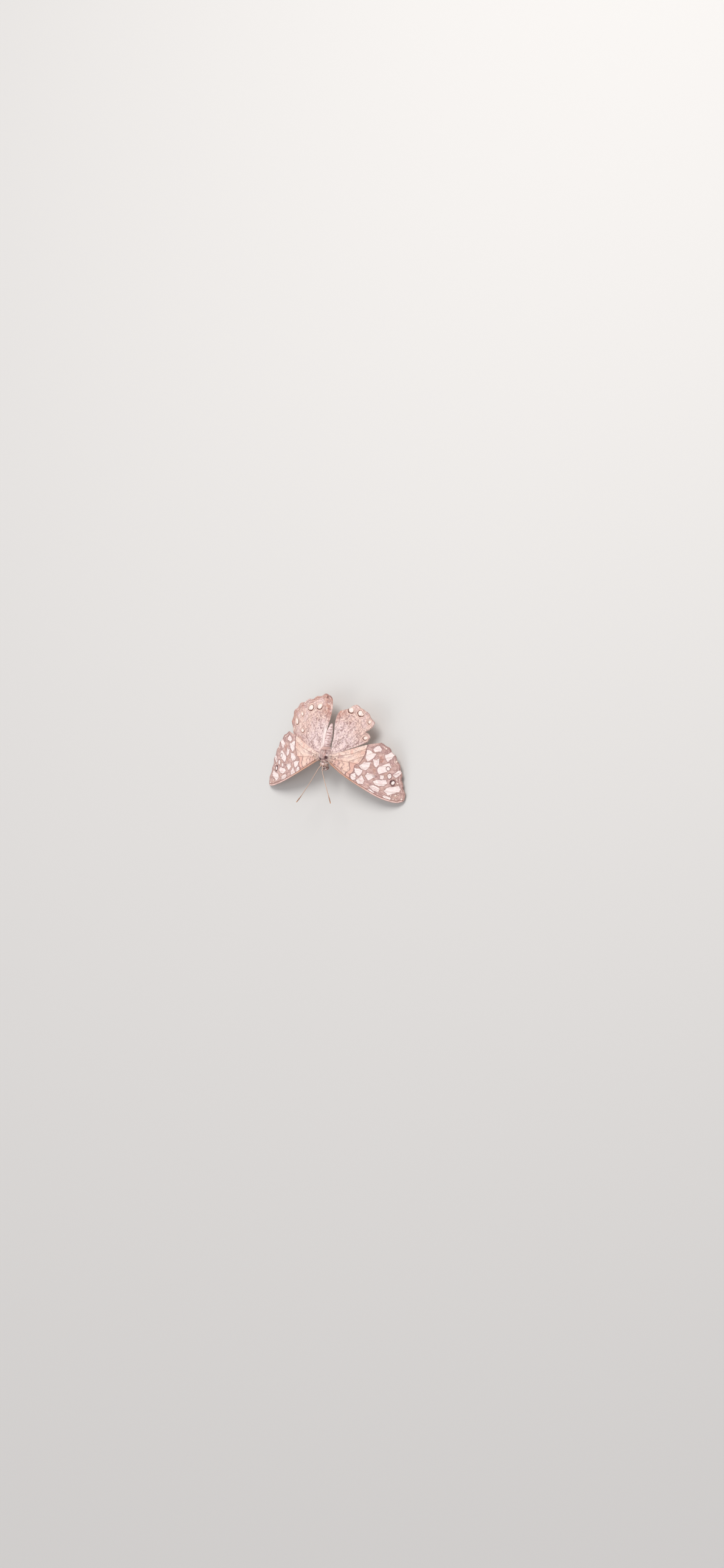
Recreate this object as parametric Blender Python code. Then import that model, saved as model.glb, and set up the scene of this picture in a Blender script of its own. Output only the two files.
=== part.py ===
# A gray cracker butterfly at rest: wings spread and drooping to both sides, body raised on four legs.
# Lengths are in millimetres until a mesh is written, which is in metres.
# +X is the butterfly's own left, -Y is forward past its head, and +Z is up from the floor at 0.
import math

import bmesh
import bpy
from mathutils import Matrix, Vector
from mathutils.geometry import delaunay_2d_cdt

MM = 0.001
GAP = 0.3  # kept between two pieces that meet

# Stance
BODY_HEIGHT = 10.4  # the thorax's axis above the floor
WING_RISE = 1.0  # the forewing's root above the thorax's axis
HINDWING_STEP = 1.3  # the hindwing lies this far under the forewing
WING_ROOT = 3.2  # the wing's hinge from the midline
ROOT_SLOPE = 0.15  # how steeply a wing droops at its root
DROOP = 0.0052  # how much steeper it gets with each millimetre outward, halved
REAR_SLOPE = 0.10  # the hindwing's fall towards its rear margin
WING_THICKNESS = 0.5

# Wing outlines seen from above: distance from the midline, then distance behind the forewing's root.
# The left hindwing is worn back along its margin, with a notch in it, and the left forewing is broader in front.
FOREWING_FRONT = [(2.4, 0.4), (4.2, -0.5), (8.3, -2.7), (14.0, -5.5), (19.6, -8.0), (25.0, -10.1), (29.6, -11.5),
                  (33.0, -12.2), (35.0, -12.1)]
BROAD_FRONT = [(2.4, 0.4), (4.4, -1.1), (9.1, -4.0), (14.9, -6.85), (20.4, -9.3), (25.6, -11.45), (30.4, -12.55),
               (33.2, -12.7), (35.0, -12.1)]
FOREWING_MARGIN = [(35.0, -12.1), (36.1, -10.7), (35.5, -7.9), (34.3, -4.3), (33.7, -0.8), (32.4, 2.6), (30.3, 6.0),
                   (27.6, 8.8), (24.6, 10.4)]
FOREWING_BACK = [(24.6, 10.4), (19.6, 9.1), (13.7, 6.9), (8.6, 4.9), (4.8, 3.6), (3.0, 3.2)]
HINDWING_FRONT = [(3.1, 3.1), (5.2, 2.9), (9.0, 3.1), (15.0, 4.8), (20.0, 7.4), (22.8, 10.2)]
HINDWING_MARGIN = [(22.8, 10.2), (24.0, 13.4), (23.6, 17.0), (21.6, 20.3), (18.2, 22.8), (14.2, 24.4), (10.4, 25.7),
                   (6.8, 27.0), (4.0, 27.0), (2.3, 25.6)]
HINDWING_BACK = [(2.3, 25.6), (1.5, 22.4), (1.5, 18.4), (2.1, 14.0), (2.3, 10.0), (2.1, 7.4), (2.3, 5.5)]
WORN_FRONT = [(3.1, 3.1), (4.2, 3.5), (6.5, 4.6), (10.0, 6.2), (13.6, 7.9), (17.4, 9.9)]
WORN_MARGIN = [(17.4, 9.9), (18.6, 12.0), (17.6, 13.3), (16.2, 13.9), (17.7, 14.9), (19.4, 16.4), (20.0, 18.2),
               (18.4, 19.5), (17.2, 21.2), (14.8, 22.5), (12.6, 23.2), (10.8, 24.3), (8.9, 23.9), (7.4, 22.5),
               (5.4, 21.9), (3.2, 21.2)]
WORN_BACK = [(3.2, 21.2), (1.9, 19.4), (1.5, 16.4), (1.9, 13.0), (2.2, 10.0), (2.1, 7.4), (2.3, 5.5)]
FOREWING_CELLS = 7  # cells that end on the outer margin, between its veins
HINDWING_CELLS = 7
FOREWING_SCALLOP = 0.22  # how far a vein's end stands out of the margin
HINDWING_SCALLOP = 0.32

# Veins from the root outwards: the places that each runs through, then which of the margin's cell ends it
# reaches, counted from the front, or None where it stops at its last place.
FOREWING_VEINS = [
    ([(2.9, 1.0), (7.0, -0.9), (12.0, -3.1), (17.4, -5.4), (23.4, -8.1), (29.0, -10.8)], None),
    ([(23.4, -8.1), (29.6, -10.2)], 0), ([(20.2, -6.7), (27.4, -8.4)], 1), ([(17.4, -5.4), (25.6, -6.0)], 2),
    ([(18.4, -2.7), (26.0, -2.6)], 3), ([(18.2, -0.5), (26.0, 1.1)], 4), ([(16.2, 0.7), (24.0, 3.6)], 5),
    ([(11.6, 1.2), (20.0, 5.2)], 6),
    ([(3.1, 1.7), (8.0, 1.3), (13.0, 1.1), (16.2, 0.7), (18.2, -0.5), (18.4, -2.7), (17.4, -5.4)], None),
    ([(3.2, 2.4), (9.0, 3.5), (15.0, 5.5)], 7)]
HINDWING_VEINS = [
    ([(3.6, 3.9), (8.5, 4.5), (15.4, 6.7)], 0), ([(3.6, 4.5), (8.0, 6.2), (12.6, 8.6)], 1),
    ([(8.0, 6.2), (14.0, 11.6)], 2), ([(8.8, 8.4), (14.0, 14.8)], 3), ([(8.0, 10.4), (11.8, 16.8)], 4),
    ([(6.9, 11.0), (9.0, 17.6)], 5), ([(5.0, 9.0), (6.2, 16.6)], 6),
    ([(3.1, 5.0), (5.0, 9.0), (6.9, 11.0), (8.0, 10.4), (8.8, 8.4), (8.0, 6.2)], None),
    ([(2.9, 6.2), (3.5, 12.4), (3.2, 19.0)], 7)]
VEIN_HEIGHT = 0.2  # above the wing's upper face; half as much stands out underneath
VEIN_WIDTH = 0.45  # from a vein's crest to its foot
VEIN_STEP = 1.9
OUTLINE_STEP = 1.25
ROOT_STEP = 0.9
MARGIN_STEPS = 5  # points along the margin of each cell
INNER_STEP = 2.6

SOLE = 0.12  # whatever of a foot is lower than this lies flat on the floor

# Sections of the body: place along Y, half width, height against the thorax's axis, half height.
THORAX_SECTIONS = [(-0.2, 0.8, 0.0, 0.9), (0.4, 1.75, 0.05, 1.8), (1.4, 2.5, 0.1, 2.45), (2.6, 2.8, 0.15, 2.7),
                   (4.1, 2.55, 0.1, 2.5), (5.3, 2.0, 0.0, 2.0), (6.2, 1.3, -0.1, 1.4)]
ABDOMEN_SECTIONS = [(5.3, 1.1, -0.2, 1.2), (7.0, 1.45, -0.35, 1.5), (9.0, 1.62, -0.5, 1.7), (11.4, 1.5, -0.75, 1.55),
                    (13.4, 1.18, -1.0, 1.2), (15.0, 0.75, -1.25, 0.8), (15.8, 0.4, -1.4, 0.45)]
HEAD_SECTIONS = [(-2.3, 0.5, -0.1, 0.6), (-1.95, 0.95, -0.05, 1.05), (-1.3, 1.25, 0.0, 1.35), (-0.6, 1.2, 0.0, 1.3),
                 (0.2, 0.8, 0.0, 0.9)]
ABDOMEN_RINGS = 8
GROOVE = 0.07  # share of its radius that the abdomen loses between two rings

EYE_PLACE = (1.2, -1.0, 0.1)
EYE_RADII = (0.8, 0.92, 1.05)

# Limbs as paths: place from the midline, place along Y, height above the floor, radius.
MID_LEG = [(1.2, 2.2, 8.9, 0.5), (2.4, 1.6, 8.2, 0.48), (5.3, 0.9, 7.5, 0.38), (6.3, 0.6, 6.9, 0.36),
           (6.75, 0.45, 5.9, 0.34), (7.4, 0.15, 2.0, 0.3), (7.75, 0.0, 0.95, 0.3), (8.5, -0.3, 0.36, 0.3),
           (9.5, -0.65, 0.24, 0.3), (11.2, -1.3, 0.24, 0.28)]
HIND_LEG = [(1.0, 4.2, 8.9, 0.5), (2.2, 5.2, 8.2, 0.48), (4.7, 7.2, 7.5, 0.38), (5.5, 7.95, 6.9, 0.36),
            (5.95, 8.45, 5.9, 0.34), (6.7, 9.7, 2.0, 0.3), (7.0, 10.15, 0.95, 0.3), (7.55, 11.05, 0.36, 0.3),
            (8.25, 12.15, 0.24, 0.3), (9.6, 14.2, 0.24, 0.28)]
FORELEG = [(1.0, 0.8, 9.2, 0.36), (1.5, 0.5, 8.0, 0.34), (1.8, 0.1, 7.2, 0.32), (1.9, -0.45, 7.1, 0.3),
           (1.8, -0.8, 7.6, 0.28), (1.7, -0.9, 8.2, 0.25)]
ANTENNA_LEFT = [(0.45, -1.25, 11.3, 0.27), (0.6, -1.9, 12.1, 0.27), (1.1, -3.7, 12.5, 0.25), (3.4, -8.1, 12.7, 0.25),
                (6.1, -12.9, 12.8, 0.27), (7.2, -14.8, 12.9, 0.32), (8.0, -16.2, 13.0, 0.27)]
ANTENNA_RIGHT = [(0.45, -1.25, 11.3, 0.27), (0.6, -1.9, 12.1, 0.27), (1.4, -3.5, 12.5, 0.25), (4.4, -9.0, 12.7, 0.25),
                 (7.9, -14.6, 12.8, 0.27), (8.9, -16.1, 12.9, 0.32), (9.9, -17.5, 13.0, 0.27)]
PALP = [(0.7, -1.6, 9.3, 0.32), (0.8, -2.35, 9.2, 0.38), (0.72, -3.05, 9.7, 0.4), (0.62, -3.3, 10.5, 0.32),
        (0.55, -3.4, 11.1, 0.16)]
PROBOSCIS_CENTRE = (-2.0, 8.1)
PROBOSCIS_RADII = (0.95, 0.35)  # from its outer turn to its tip
PROBOSCIS_TURN = 300
PROBOSCIS_THICKNESS = 0.25  # radius of the coiled tongue

SCALES_GRAY = (0.42, 0.32, 0.28)
SCALES_PALE = (0.66, 0.55, 0.49)
HAIR_DARK = (0.16, 0.11, 0.10)
EYE_BROWN = (0.12, 0.08, 0.05)
HORN_BROWN = (0.22, 0.15, 0.10)


def clear_scene():
    for thing in list(bpy.data.objects):
        bpy.data.objects.remove(thing)


def material(name, colour, roughness):
    made = bpy.data.materials.get(name) or bpy.data.materials.new(name)
    made.use_nodes = True
    shader = made.node_tree.nodes["Principled BSDF"]
    shader.inputs["Base Color"].default_value = (*colour, 1)
    shader.inputs["Roughness"].default_value = roughness
    shader.inputs["Metallic"].default_value = 0
    return made


def solid(name, points, faces, finish=None):
    """One closed mesh object; without a finish it is a cutter, which isn't part of the butterfly."""
    mesh = bpy.data.meshes.new(name)
    mesh.from_pydata([Vector(point) * MM for point in points], [], faces)
    shape = bmesh.new()
    shape.from_mesh(mesh)
    bmesh.ops.recalc_face_normals(shape, faces=shape.faces)
    shape.to_mesh(mesh)
    shape.free()
    made = bpy.data.objects.new(name, mesh)
    bpy.context.scene.collection.objects.link(made)
    if finish:
        mesh.materials.append(finish)
        mesh.shade_smooth()
        mesh.set_sharp_from_angle(angle=math.radians(40))
    else:
        made.hide_render = True
        made.display_type = "WIRE"
    return made


def trim(piece, *rooms):
    """Cuts a piece back from the room that each neighbour needs, which leaves the two face to face."""
    for room in rooms:
        cut = piece.modifiers.new("room for " + room.name, "BOOLEAN")
        cut.operation = "DIFFERENCE"
        cut.solver = "EXACT"
        cut.object = room
    return piece


def smooth_line(knots, steps):
    """Points along a Catmull-Rom curve through the knots."""
    knots = [Vector(knot) for knot in knots]
    knots = [2 * knots[0] - knots[1], *knots, 2 * knots[-1] - knots[-2]]
    line = []
    for a, b, c, d in zip(knots, knots[1:], knots[2:], knots[3:]):
        for step in range(steps):
            t = step / steps
            bend = (2 * a - 5 * b + 4 * c - d) * t * t + (3 * b - a - 3 * c + d) * t ** 3
            line.append((2 * b + (c - a) * t + bend) / 2)
    return [*line, knots[-2]]


def point_at(line, share):
    """The point at this share of a line's length."""
    lengths = [(b - a).length for a, b in zip(line, line[1:])]
    left = share * sum(lengths)
    for a, b, length in zip(line, line[1:], lengths):
        if left <= length:
            return a.lerp(b, left / length)
        left -= length
    return line[-1].copy()


def spread(line, spacing):
    """The line again, with points at an even spacing."""
    total = sum((b - a).length for a, b in zip(line, line[1:]))
    return divide(line, max(2, round(total / spacing)))


def divide(line, count):
    return [point_at(line, i / count) for i in range(count + 1)]


def rings_to_solid(name, rings, ends, finish):
    """Joins rings of points into one skin, closed by a point at each end."""
    sides = len(rings[0])
    points = [point for ring in rings for point in ring] + list(ends)
    first, last = len(points) - 2, len(points) - 1
    faces = []
    for side in range(sides):
        after = (side + 1) % sides
        faces.append((first, after, side))
        faces.append((last, (len(rings) - 1) * sides + side, (len(rings) - 1) * sides + after))
        for ring in range(len(rings) - 1):
            low, high = ring * sides, (ring + 1) * sides
            faces.append((low + side, low + after, high + after, high + side))
    return solid(name, points, faces, finish)


def body_piece(name, sections, sides, finish, steps=3, extra=0.0, groove=lambda share: 1.0):
    """A rounded body piece with elliptical sections along Y; extra makes it larger all round."""
    lined = smooth_line(sections, steps)
    rings = []
    for number, (y, half_width, rise, half_height) in enumerate(lined):
        narrow = groove(number / (len(lined) - 1))
        wide, tall = half_width * narrow + extra, half_height * narrow + extra
        turns = [2 * math.pi * side / sides for side in range(sides)]
        rings.append([(wide * math.cos(a), y, BODY_HEIGHT + rise + tall * math.sin(a)) for a in turns])
    front, rear = lined[0], lined[-1]
    ends = [(0, front[0] - front[1] / 3 - extra, BODY_HEIGHT + front[2]),
            (0, rear[0] + rear[1] / 3 + extra, BODY_HEIGHT + rear[2])]
    return rings_to_solid(name, rings, ends, finish)


def ball(name, centre, radii, sides, finish, extra=0.0):
    """An ellipsoid with its poles along X."""
    half = sides // 2
    rings = []
    for step in range(1, half):
        tilt = math.pi * step / half
        turns = [2 * math.pi * side / sides for side in range(sides)]
        rings.append([(centre[0] - (radii[0] + extra) * math.cos(tilt),
                       centre[1] + (radii[1] + extra) * math.sin(tilt) * math.cos(a),
                       centre[2] + (radii[2] + extra) * math.sin(tilt) * math.sin(a)) for a in turns])
    reach = radii[0] + extra
    ends = [(centre[0] - reach, centre[1], centre[2]), (centre[0] + reach, centre[1], centre[2])]
    return rings_to_solid(name, rings, ends, finish)


def limb(name, path, side, finish, sides=8, steps=2):
    """A tube of changing radius along a path, mirrored by side; whatever would reach under the floor lies flat on it."""
    lined = smooth_line(path, steps)
    spine = [Vector((side * p[0], p[1], p[2])) for p in lined]
    across = Vector((1, 0, 0))
    rings = []
    for number, (centre, knot) in enumerate(zip(spine, lined)):
        ahead = (spine[min(number + 1, len(spine) - 1)] - spine[max(number - 1, 0)]).normalized()
        across = (across - across.dot(ahead) * ahead).normalized()
        up = ahead.cross(across)
        ring = []
        for corner in range(sides):
            a = 2 * math.pi * corner / sides
            point = centre + knot[3] * (math.cos(a) * across + math.sin(a) * up)
            ring.append((point.x, point.y, point.z if point.z > SOLE else 0.0))
        rings.append(ring)
    tip = spine[-1] + (spine[-1] - spine[-2]).normalized() * lined[-1][3] * 0.6
    return rings_to_solid(name, rings, [tuple(spine[0]), tuple(tip)], finish)


def forewing_height(x, y):
    """Height of the forewing's middle layer."""
    out = max(0.0, x - WING_ROOT)
    return BODY_HEIGHT + WING_RISE - ROOT_SLOPE * out - DROOP * out * out


def hindwing_height(x, y):
    """Height of the hindwing's middle layer: it follows the forewing in front and lies flatter behind."""
    out = max(0.0, x - WING_ROOT)
    behind = min(1.0, max(0.0, (y - 8) / 14))
    share = 1 - 0.65 * behind
    fall = HINDWING_STEP + REAR_SLOPE * max(0.0, y - 3)
    return BODY_HEIGHT + WING_RISE - fall - share * (ROOT_SLOPE * out + DROOP * out * out)


def scalloped(margin, cells, depth):
    """The outer margin pushed out where each vein ends, and in between them."""
    line = spread(smooth_line(margin, 6), 0.6)
    waved = []
    for number, point in enumerate(line):
        share = number / (len(line) - 1)
        along = (line[min(number + 1, len(line) - 1)] - line[max(number - 1, 0)]).normalized()
        fade = min(1.0, 12 * share, 12 * (1 - share))
        wave = depth * fade * math.cos(2 * math.pi * cells * share)
        waved.append(point + wave * Vector((-along.y, along.x)) * -1)
    return waved


def outline_of(front, margin, back, cells, depth):
    """The wing's closed outline, the numbers of its points against the thorax, and each cell's end on its margin."""
    edge = divide(scalloped(margin, cells, depth), cells * MARGIN_STEPS)
    root = spread([Vector(back[-1]), Vector(front[0])], ROOT_STEP)
    free = [*spread(smooth_line(front, 5), OUTLINE_STEP)[:-1], *edge[:-1], *spread(smooth_line(back, 5), OUTLINE_STEP)]
    return [*free, *root[1:-1]], {0, *range(len(free) - 1, len(free) + len(root) - 2)}, edge[::MARGIN_STEPS]


def inside(point, outline):
    found = False
    for a, b in zip(outline, [*outline[1:], outline[0]]):
        if (a.y > point.y) != (b.y > point.y):
            if point.x < a.x + (b.x - a.x) * (point.y - a.y) / (b.y - a.y):
                found = not found
    return found


def thorax_side(y, z):
    """How far from the midline the thorax's side is at this place, or 0 where there is none."""
    lined = smooth_line(THORAX_SECTIONS, 3)
    for front, rear in zip(lined, lined[1:]):
        if front[0] <= y < rear[0]:
            section = front.lerp(rear, (y - front[0]) / (rear[0] - front[0]))
            lift = (z - BODY_HEIGHT - section[2]) / section[3]
            return section[1] * math.sqrt(max(0.0, 1 - lift * lift))
    return 0.0


def veins_of(veins, ends):
    """Each vein as a line of evenly spaced points."""
    knots = [[*map(Vector, places), *([ends[end]] if end is not None else [])] for places, end in veins]
    return [spread(smooth_line(line, 4), VEIN_STEP) for line in knots]


def off_line(place, a, b):
    """How far a place is from the stretch between a and b."""
    along = b - a
    share = min(1.0, max(0.0, (place - a).dot(along) / along.length_squared))
    return (place - a - share * along).length


def wing(name, outline, root, veins, height, side, finish):
    """A thin plate over the outline, with its veins raised and both faces split into the same triangles.

    Root names the outline's points that lie against the thorax; both faces are drawn in to meet it there.
    """
    count = len(outline)
    rim = list(zip(outline, [*outline[1:], outline[0]]))
    points = list(outline)
    edges = [(i, (i + 1) % count) for i in range(count)]
    crests, flanks = [], []
    for line in veins:
        before = None
        for number, place in enumerate(line):
            known = next((i for i, p in enumerate(points) if (p - place).length < 0.25), None)
            if known is None:
                if not inside(place, outline) or min(off_line(place, a, b) for a, b in rim) < 0.4:
                    before = None
                    continue
                known = len(points)
                points.append(place)
            if before is not None and before != known:
                edges.append((before, known))
                crests.append((points[before], points[known]))
                across = (points[known] - points[before]).orthogonal().normalized() * VEIN_WIDTH
                flanks += [points[known] + across, points[known] - across]
            before = known
    for place in flanks:
        if inside(place, outline) and min(off_line(place, a, b) for a, b in rim) > 0.35:
            if min(off_line(place, a, b) for a, b in crests) > 0.4 and min((place - p).length for p in points) > 0.4:
                points.append(place)
    rows = range(int(min(p.y for p in outline) / INNER_STEP) - 1, int(max(p.y for p in outline) / INNER_STEP) + 2)
    for row in rows:
        for column in range(int(max(p.x for p in outline) / INNER_STEP) + 1):
            candidate = Vector(((column + 0.5 * (row % 2)) * INNER_STEP, row * INNER_STEP))
            if inside(candidate, outline) and all((candidate - p).length > 0.9 for p in points):
                points.append(candidate)
    plan, _, faces, starts, _, _ = delaunay_2d_cdt(points, edges, [], 0, 1e-6, True)
    faces = [face for face in faces if inside(sum((plan[i] for i in face), Vector((0, 0))) / 3, outline)]
    upper, lower = [], []
    for place, start in zip(plan, starts):
        middle = height(place.x, place.y)
        raised = VEIN_HEIGHT * max(0.0, 1 - min(off_line(place, a, b) for a, b in crests) / VEIN_WIDTH)
        for skin, z in ((upper, middle + WING_THICKNESS / 2 + raised), (lower, middle - (WING_THICKNESS + raised) / 2)):
            x = thorax_side(place.y, z) + GAP if root.intersection(start) else place.x
            skin.append((side * x, place.y, z))
    total = len(plan)
    used = {}
    for face in faces:
        for a, b in zip(face, [*face[1:], face[0]]):
            used[(a, b)] = True
    skin = [tuple(face) for face in faces]
    skin += [tuple(total + i for i in reversed(face)) for face in faces]
    for a, b in used:
        if (b, a) not in used:
            skin += [(b, a, total + a), (b, total + a, total + b)]
    return solid(name, upper + lower, skin, finish)


def proboscis_path():
    """The tongue's coil under the head, from its root to its tip."""
    y0, z0 = PROBOSCIS_CENTRE
    outer, inner = PROBOSCIS_RADII
    path = [(0.0, y0 + 0.1, z0 + outer + 0.5, PROBOSCIS_THICKNESS)]
    steps = 10
    for step in range(steps + 1):
        share = step / steps
        turn = math.radians(90 + PROBOSCIS_TURN * share)
        reach = outer + (inner - outer) * share
        path.append((0.0, y0 + reach * math.cos(turn), z0 + reach * math.sin(turn), PROBOSCIS_THICKNESS))
    return path


def build_body():
    hair = material("thorax hair", HAIR_DARK, 0.8)
    scales = material("abdomen scales", SCALES_GRAY, 0.75)
    horn = material("horn", HORN_BROWN, 0.45)
    eye = material("compound eye", EYE_BROWN, 0.2)
    thorax_room = body_piece("thorax_room", THORAX_SECTIONS, 24, None, extra=GAP)
    head_room = body_piece("head_room", HEAD_SECTIONS, 20, None, extra=GAP)
    body_piece("thorax", THORAX_SECTIONS, 24, hair)
    abdomen = body_piece(
        "abdomen", ABDOMEN_SECTIONS, 18, scales, steps=4,
        groove=lambda share: 1 - GROOVE * (0.5 + 0.5 * math.cos(2 * math.pi * ABDOMEN_RINGS * share)))
    trim(abdomen, thorax_room)
    head = body_piece("head", HEAD_SECTIONS, 20, hair)
    trim(head, thorax_room)
    for word, side in (("left", 1), ("right", -1)):
        centre = (side * EYE_PLACE[0], EYE_PLACE[1], BODY_HEIGHT + EYE_PLACE[2])
        ball("eye_" + word, centre, EYE_RADII, 18, eye)
        trim(head, ball("eye_room_" + word, centre, EYE_RADII, 18, None, extra=GAP))
        trim(limb("palp_" + word, PALP, side, scales), head_room)
        trim(limb("foreleg_" + word, FORELEG, side, scales), thorax_room)
        trim(limb("midleg_" + word, MID_LEG, side, horn), thorax_room)
        trim(limb("hindleg_" + word, HIND_LEG, side, horn), thorax_room)
    trim(limb("antenna_left", ANTENNA_LEFT, 1, horn), head_room)
    trim(limb("antenna_right", ANTENNA_RIGHT, -1, horn), head_room)
    trim(limb("proboscis", proboscis_path(), 1, horn, steps=2), head_room)


def build_wings():
    gray = material("wing scales", SCALES_GRAY, 0.7)
    pale = material("hindwing scales", SCALES_PALE, 0.7)
    fore = outline_of(FOREWING_FRONT, FOREWING_MARGIN, FOREWING_BACK, FOREWING_CELLS, FOREWING_SCALLOP)
    broad = outline_of(BROAD_FRONT, FOREWING_MARGIN, FOREWING_BACK, FOREWING_CELLS, FOREWING_SCALLOP)
    whole = outline_of(HINDWING_FRONT, HINDWING_MARGIN, HINDWING_BACK, HINDWING_CELLS, HINDWING_SCALLOP)
    worn = outline_of(WORN_FRONT, WORN_MARGIN, WORN_BACK, HINDWING_CELLS, 0)
    fore_veins = veins_of(FOREWING_VEINS, fore[2])
    hind_veins = veins_of(HINDWING_VEINS, whole[2])
    for word, side, front, hind in (("left", 1, broad, worn), ("right", -1, fore, whole)):
        wing("forewing_" + word, *front[:2], fore_veins, forewing_height, side, gray)
        wing("hindwing_" + word, *hind[:2], hind_veins, hindwing_height, side, pale)


def centre_on_origin():
    """Slides everything along Y until the butterfly's outline has its middle over the origin."""
    meshes = [thing.data for thing in bpy.data.objects]
    reach = [v.co.y for thing in bpy.data.objects if not thing.hide_render for v in thing.data.vertices]
    middle = (min(reach) + max(reach)) / 2
    for mesh in meshes:
        mesh.transform(Matrix.Translation((0, -middle, 0)))


clear_scene()
build_body()
build_wings()
centre_on_origin()
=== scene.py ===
# Gray cracker butterfly, life size, resting with its wings spread.
# Lengths are in millimetres until a mesh is made. +x is the butterfly's own left, -y is forward, +z is up.
import math

import bmesh
import bpy
import numpy as np
from mathutils import Matrix, Vector
from mathutils.geometry import delaunay_2d_cdt


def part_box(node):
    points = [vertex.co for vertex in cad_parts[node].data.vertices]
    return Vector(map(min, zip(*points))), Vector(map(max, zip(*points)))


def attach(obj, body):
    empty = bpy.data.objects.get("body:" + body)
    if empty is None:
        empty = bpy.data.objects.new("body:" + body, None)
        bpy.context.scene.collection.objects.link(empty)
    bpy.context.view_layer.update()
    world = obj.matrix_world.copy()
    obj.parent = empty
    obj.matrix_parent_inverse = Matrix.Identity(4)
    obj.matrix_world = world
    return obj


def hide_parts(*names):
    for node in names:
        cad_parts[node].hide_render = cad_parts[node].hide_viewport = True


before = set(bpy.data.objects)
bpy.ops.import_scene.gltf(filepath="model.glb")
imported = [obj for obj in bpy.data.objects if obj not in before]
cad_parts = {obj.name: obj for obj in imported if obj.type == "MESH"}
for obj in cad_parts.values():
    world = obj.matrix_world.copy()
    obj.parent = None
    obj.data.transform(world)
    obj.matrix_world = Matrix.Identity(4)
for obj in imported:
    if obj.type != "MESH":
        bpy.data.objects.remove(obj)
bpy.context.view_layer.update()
print("frame loaded:", len(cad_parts), "solids")

stance = {
    "bodyHeight": 10.4,  # the thorax's axis above the floor
    "wingRise": 1.0,
    "hindwingStep": 1.3,
    "wingRoot": 3.2,
    "rootSlope": 0.15,
    "droop": 0.0052,
    "rearSlope": 0.10,
    "thoraxFront": -0.2 - 0.8 / 3,  # where the thorax solid starts, before the model is centred
}
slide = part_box("thorax")[0].y * 1000 - stance["thoraxFront"]
fullTurn = 2 * math.pi


# Lines and noise


def smoothLine(knots, steps):
    # points along a soft curve through the knots
    knots = np.array(knots, float)
    knots = np.vstack([2 * knots[:1] - knots[1:2], knots, 2 * knots[-1:] - knots[-2:-1]])
    line = []
    for a, b, c, d in zip(knots, knots[1:], knots[2:], knots[3:]):
        for t in np.arange(steps) / steps:
            bend = (2 * a - 5 * b + 4 * c - d) * t * t + (3 * b - a - 3 * c + d) * t ** 3
            line.append((2 * b + (c - a) * t + bend) / 2)
    return np.array([*line, knots[-2]])


def divide(line, count):
    # the same line as this many equal stretches
    lengths = np.r_[0, np.cumsum(np.linalg.norm(np.diff(line, axis=0), axis=1))]
    places = np.linspace(0, lengths[-1], count + 1)
    return np.stack([np.interp(places, lengths, line[:, i]) for i in range(line.shape[1])], axis=1)


def spread(line, spacing):
    # the same line as equal stretches of about this length
    total = np.linalg.norm(np.diff(line, axis=0), axis=1).sum()
    return divide(line, max(2, round(total / spacing)))


def smooth(low, high, value):
    t = np.clip((value - low) / (high - low), 0, 1)
    return t * t * (3 - 2 * t)


def stroke(distance, width, soft=0.07):
    return 1 - smooth(width - soft, width + soft, np.abs(distance))


def cloud(x, y, size, seed):
    # smooth noise from 0 to 1 with blobs of about this size, from two turned lattices so that no grid shows
    table = np.random.default_rng(seed).random((97, 89))
    total = 0
    for turn, shift in ((0.5 + seed, 400.5), (1.6 + seed, 431.2)):
        u = (np.asarray(x) * math.cos(turn) - np.asarray(y) * math.sin(turn)) / size + shift
        v = (np.asarray(x) * math.sin(turn) + np.asarray(y) * math.cos(turn)) / size + shift
        i, j = np.floor(u).astype(int), np.floor(v).astype(int)
        s, t = u - i, v - j
        s, t = s * s * (3 - 2 * s), t * t * (3 - 2 * t)
        near = table[i % 97, j % 89] * (1 - t) + table[i % 97, (j + 1) % 89] * t
        far = table[(i + 1) % 97, j % 89] * (1 - t) + table[(i + 1) % 97, (j + 1) % 89] * t
        total = total + near * (1 - s) + far * s
    return np.clip(0.5 + (total - 1) * 0.72, 0, 1)


def blots(x, y, size, seed, low, high):
    # soft blots, where the noise rises from low to high
    return smooth(low, high, cloud(x, y, size, seed))


def wobbled(x, y, amount, size, seed):
    # the same places pushed about a little, so that a mark drawn there has an uneven edge
    return [place + amount * (cloud(x, y, size, first) - 0.5) + 0.16 * (cloud(x, y, 0.4, first + 1) - 0.5)
            for place, first in ((x, seed), (y, seed + 2))]


def lineDistance(x, y, line, closed=False):
    best = np.full(np.shape(x), 1e9)
    ends = [*line[1:], line[0]] if closed else line[1:]
    for (ax, ay), (bx, by) in zip(line, ends):
        dx, dy = bx - ax, by - ay
        share = np.clip(((x - ax) * dx + (y - ay) * dy) / max(1e-9, dx * dx + dy * dy), 0, 1)
        best = np.minimum(best, np.hypot(x - ax - share * dx, y - ay - share * dy))
    return best


def isInside(x, y, line):
    found = np.zeros(np.shape(x), bool)
    for (ax, ay), (bx, by) in zip(line, [*line[1:], line[0]]):
        crossed = (ay > y) != (by > y)
        found ^= crossed & (x < ax + (bx - ax) * (y - ay) / (by - ay if by != ay else 1e-9))
    return found


def depthIn(x, y, corners):
    # how deep a place lies in a shape with these corners, below 0 outside it
    away = lineDistance(x, y, corners, closed=True)
    return np.where(isInside(x, y, corners), away, -away)


def rounded(x, y, mark):
    # how deep a place lies in a round mark, below 0 outside it
    cx, cy, long, wide, tilt, _ = mark
    turn = math.radians(tilt)
    u = (x - cx) * math.cos(turn) + (y - cy) * math.sin(turn)
    v = (y - cy) * math.cos(turn) - (x - cx) * math.sin(turn)
    return (1 - np.hypot(u / long, v / wide)) * min(long, wide)


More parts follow.
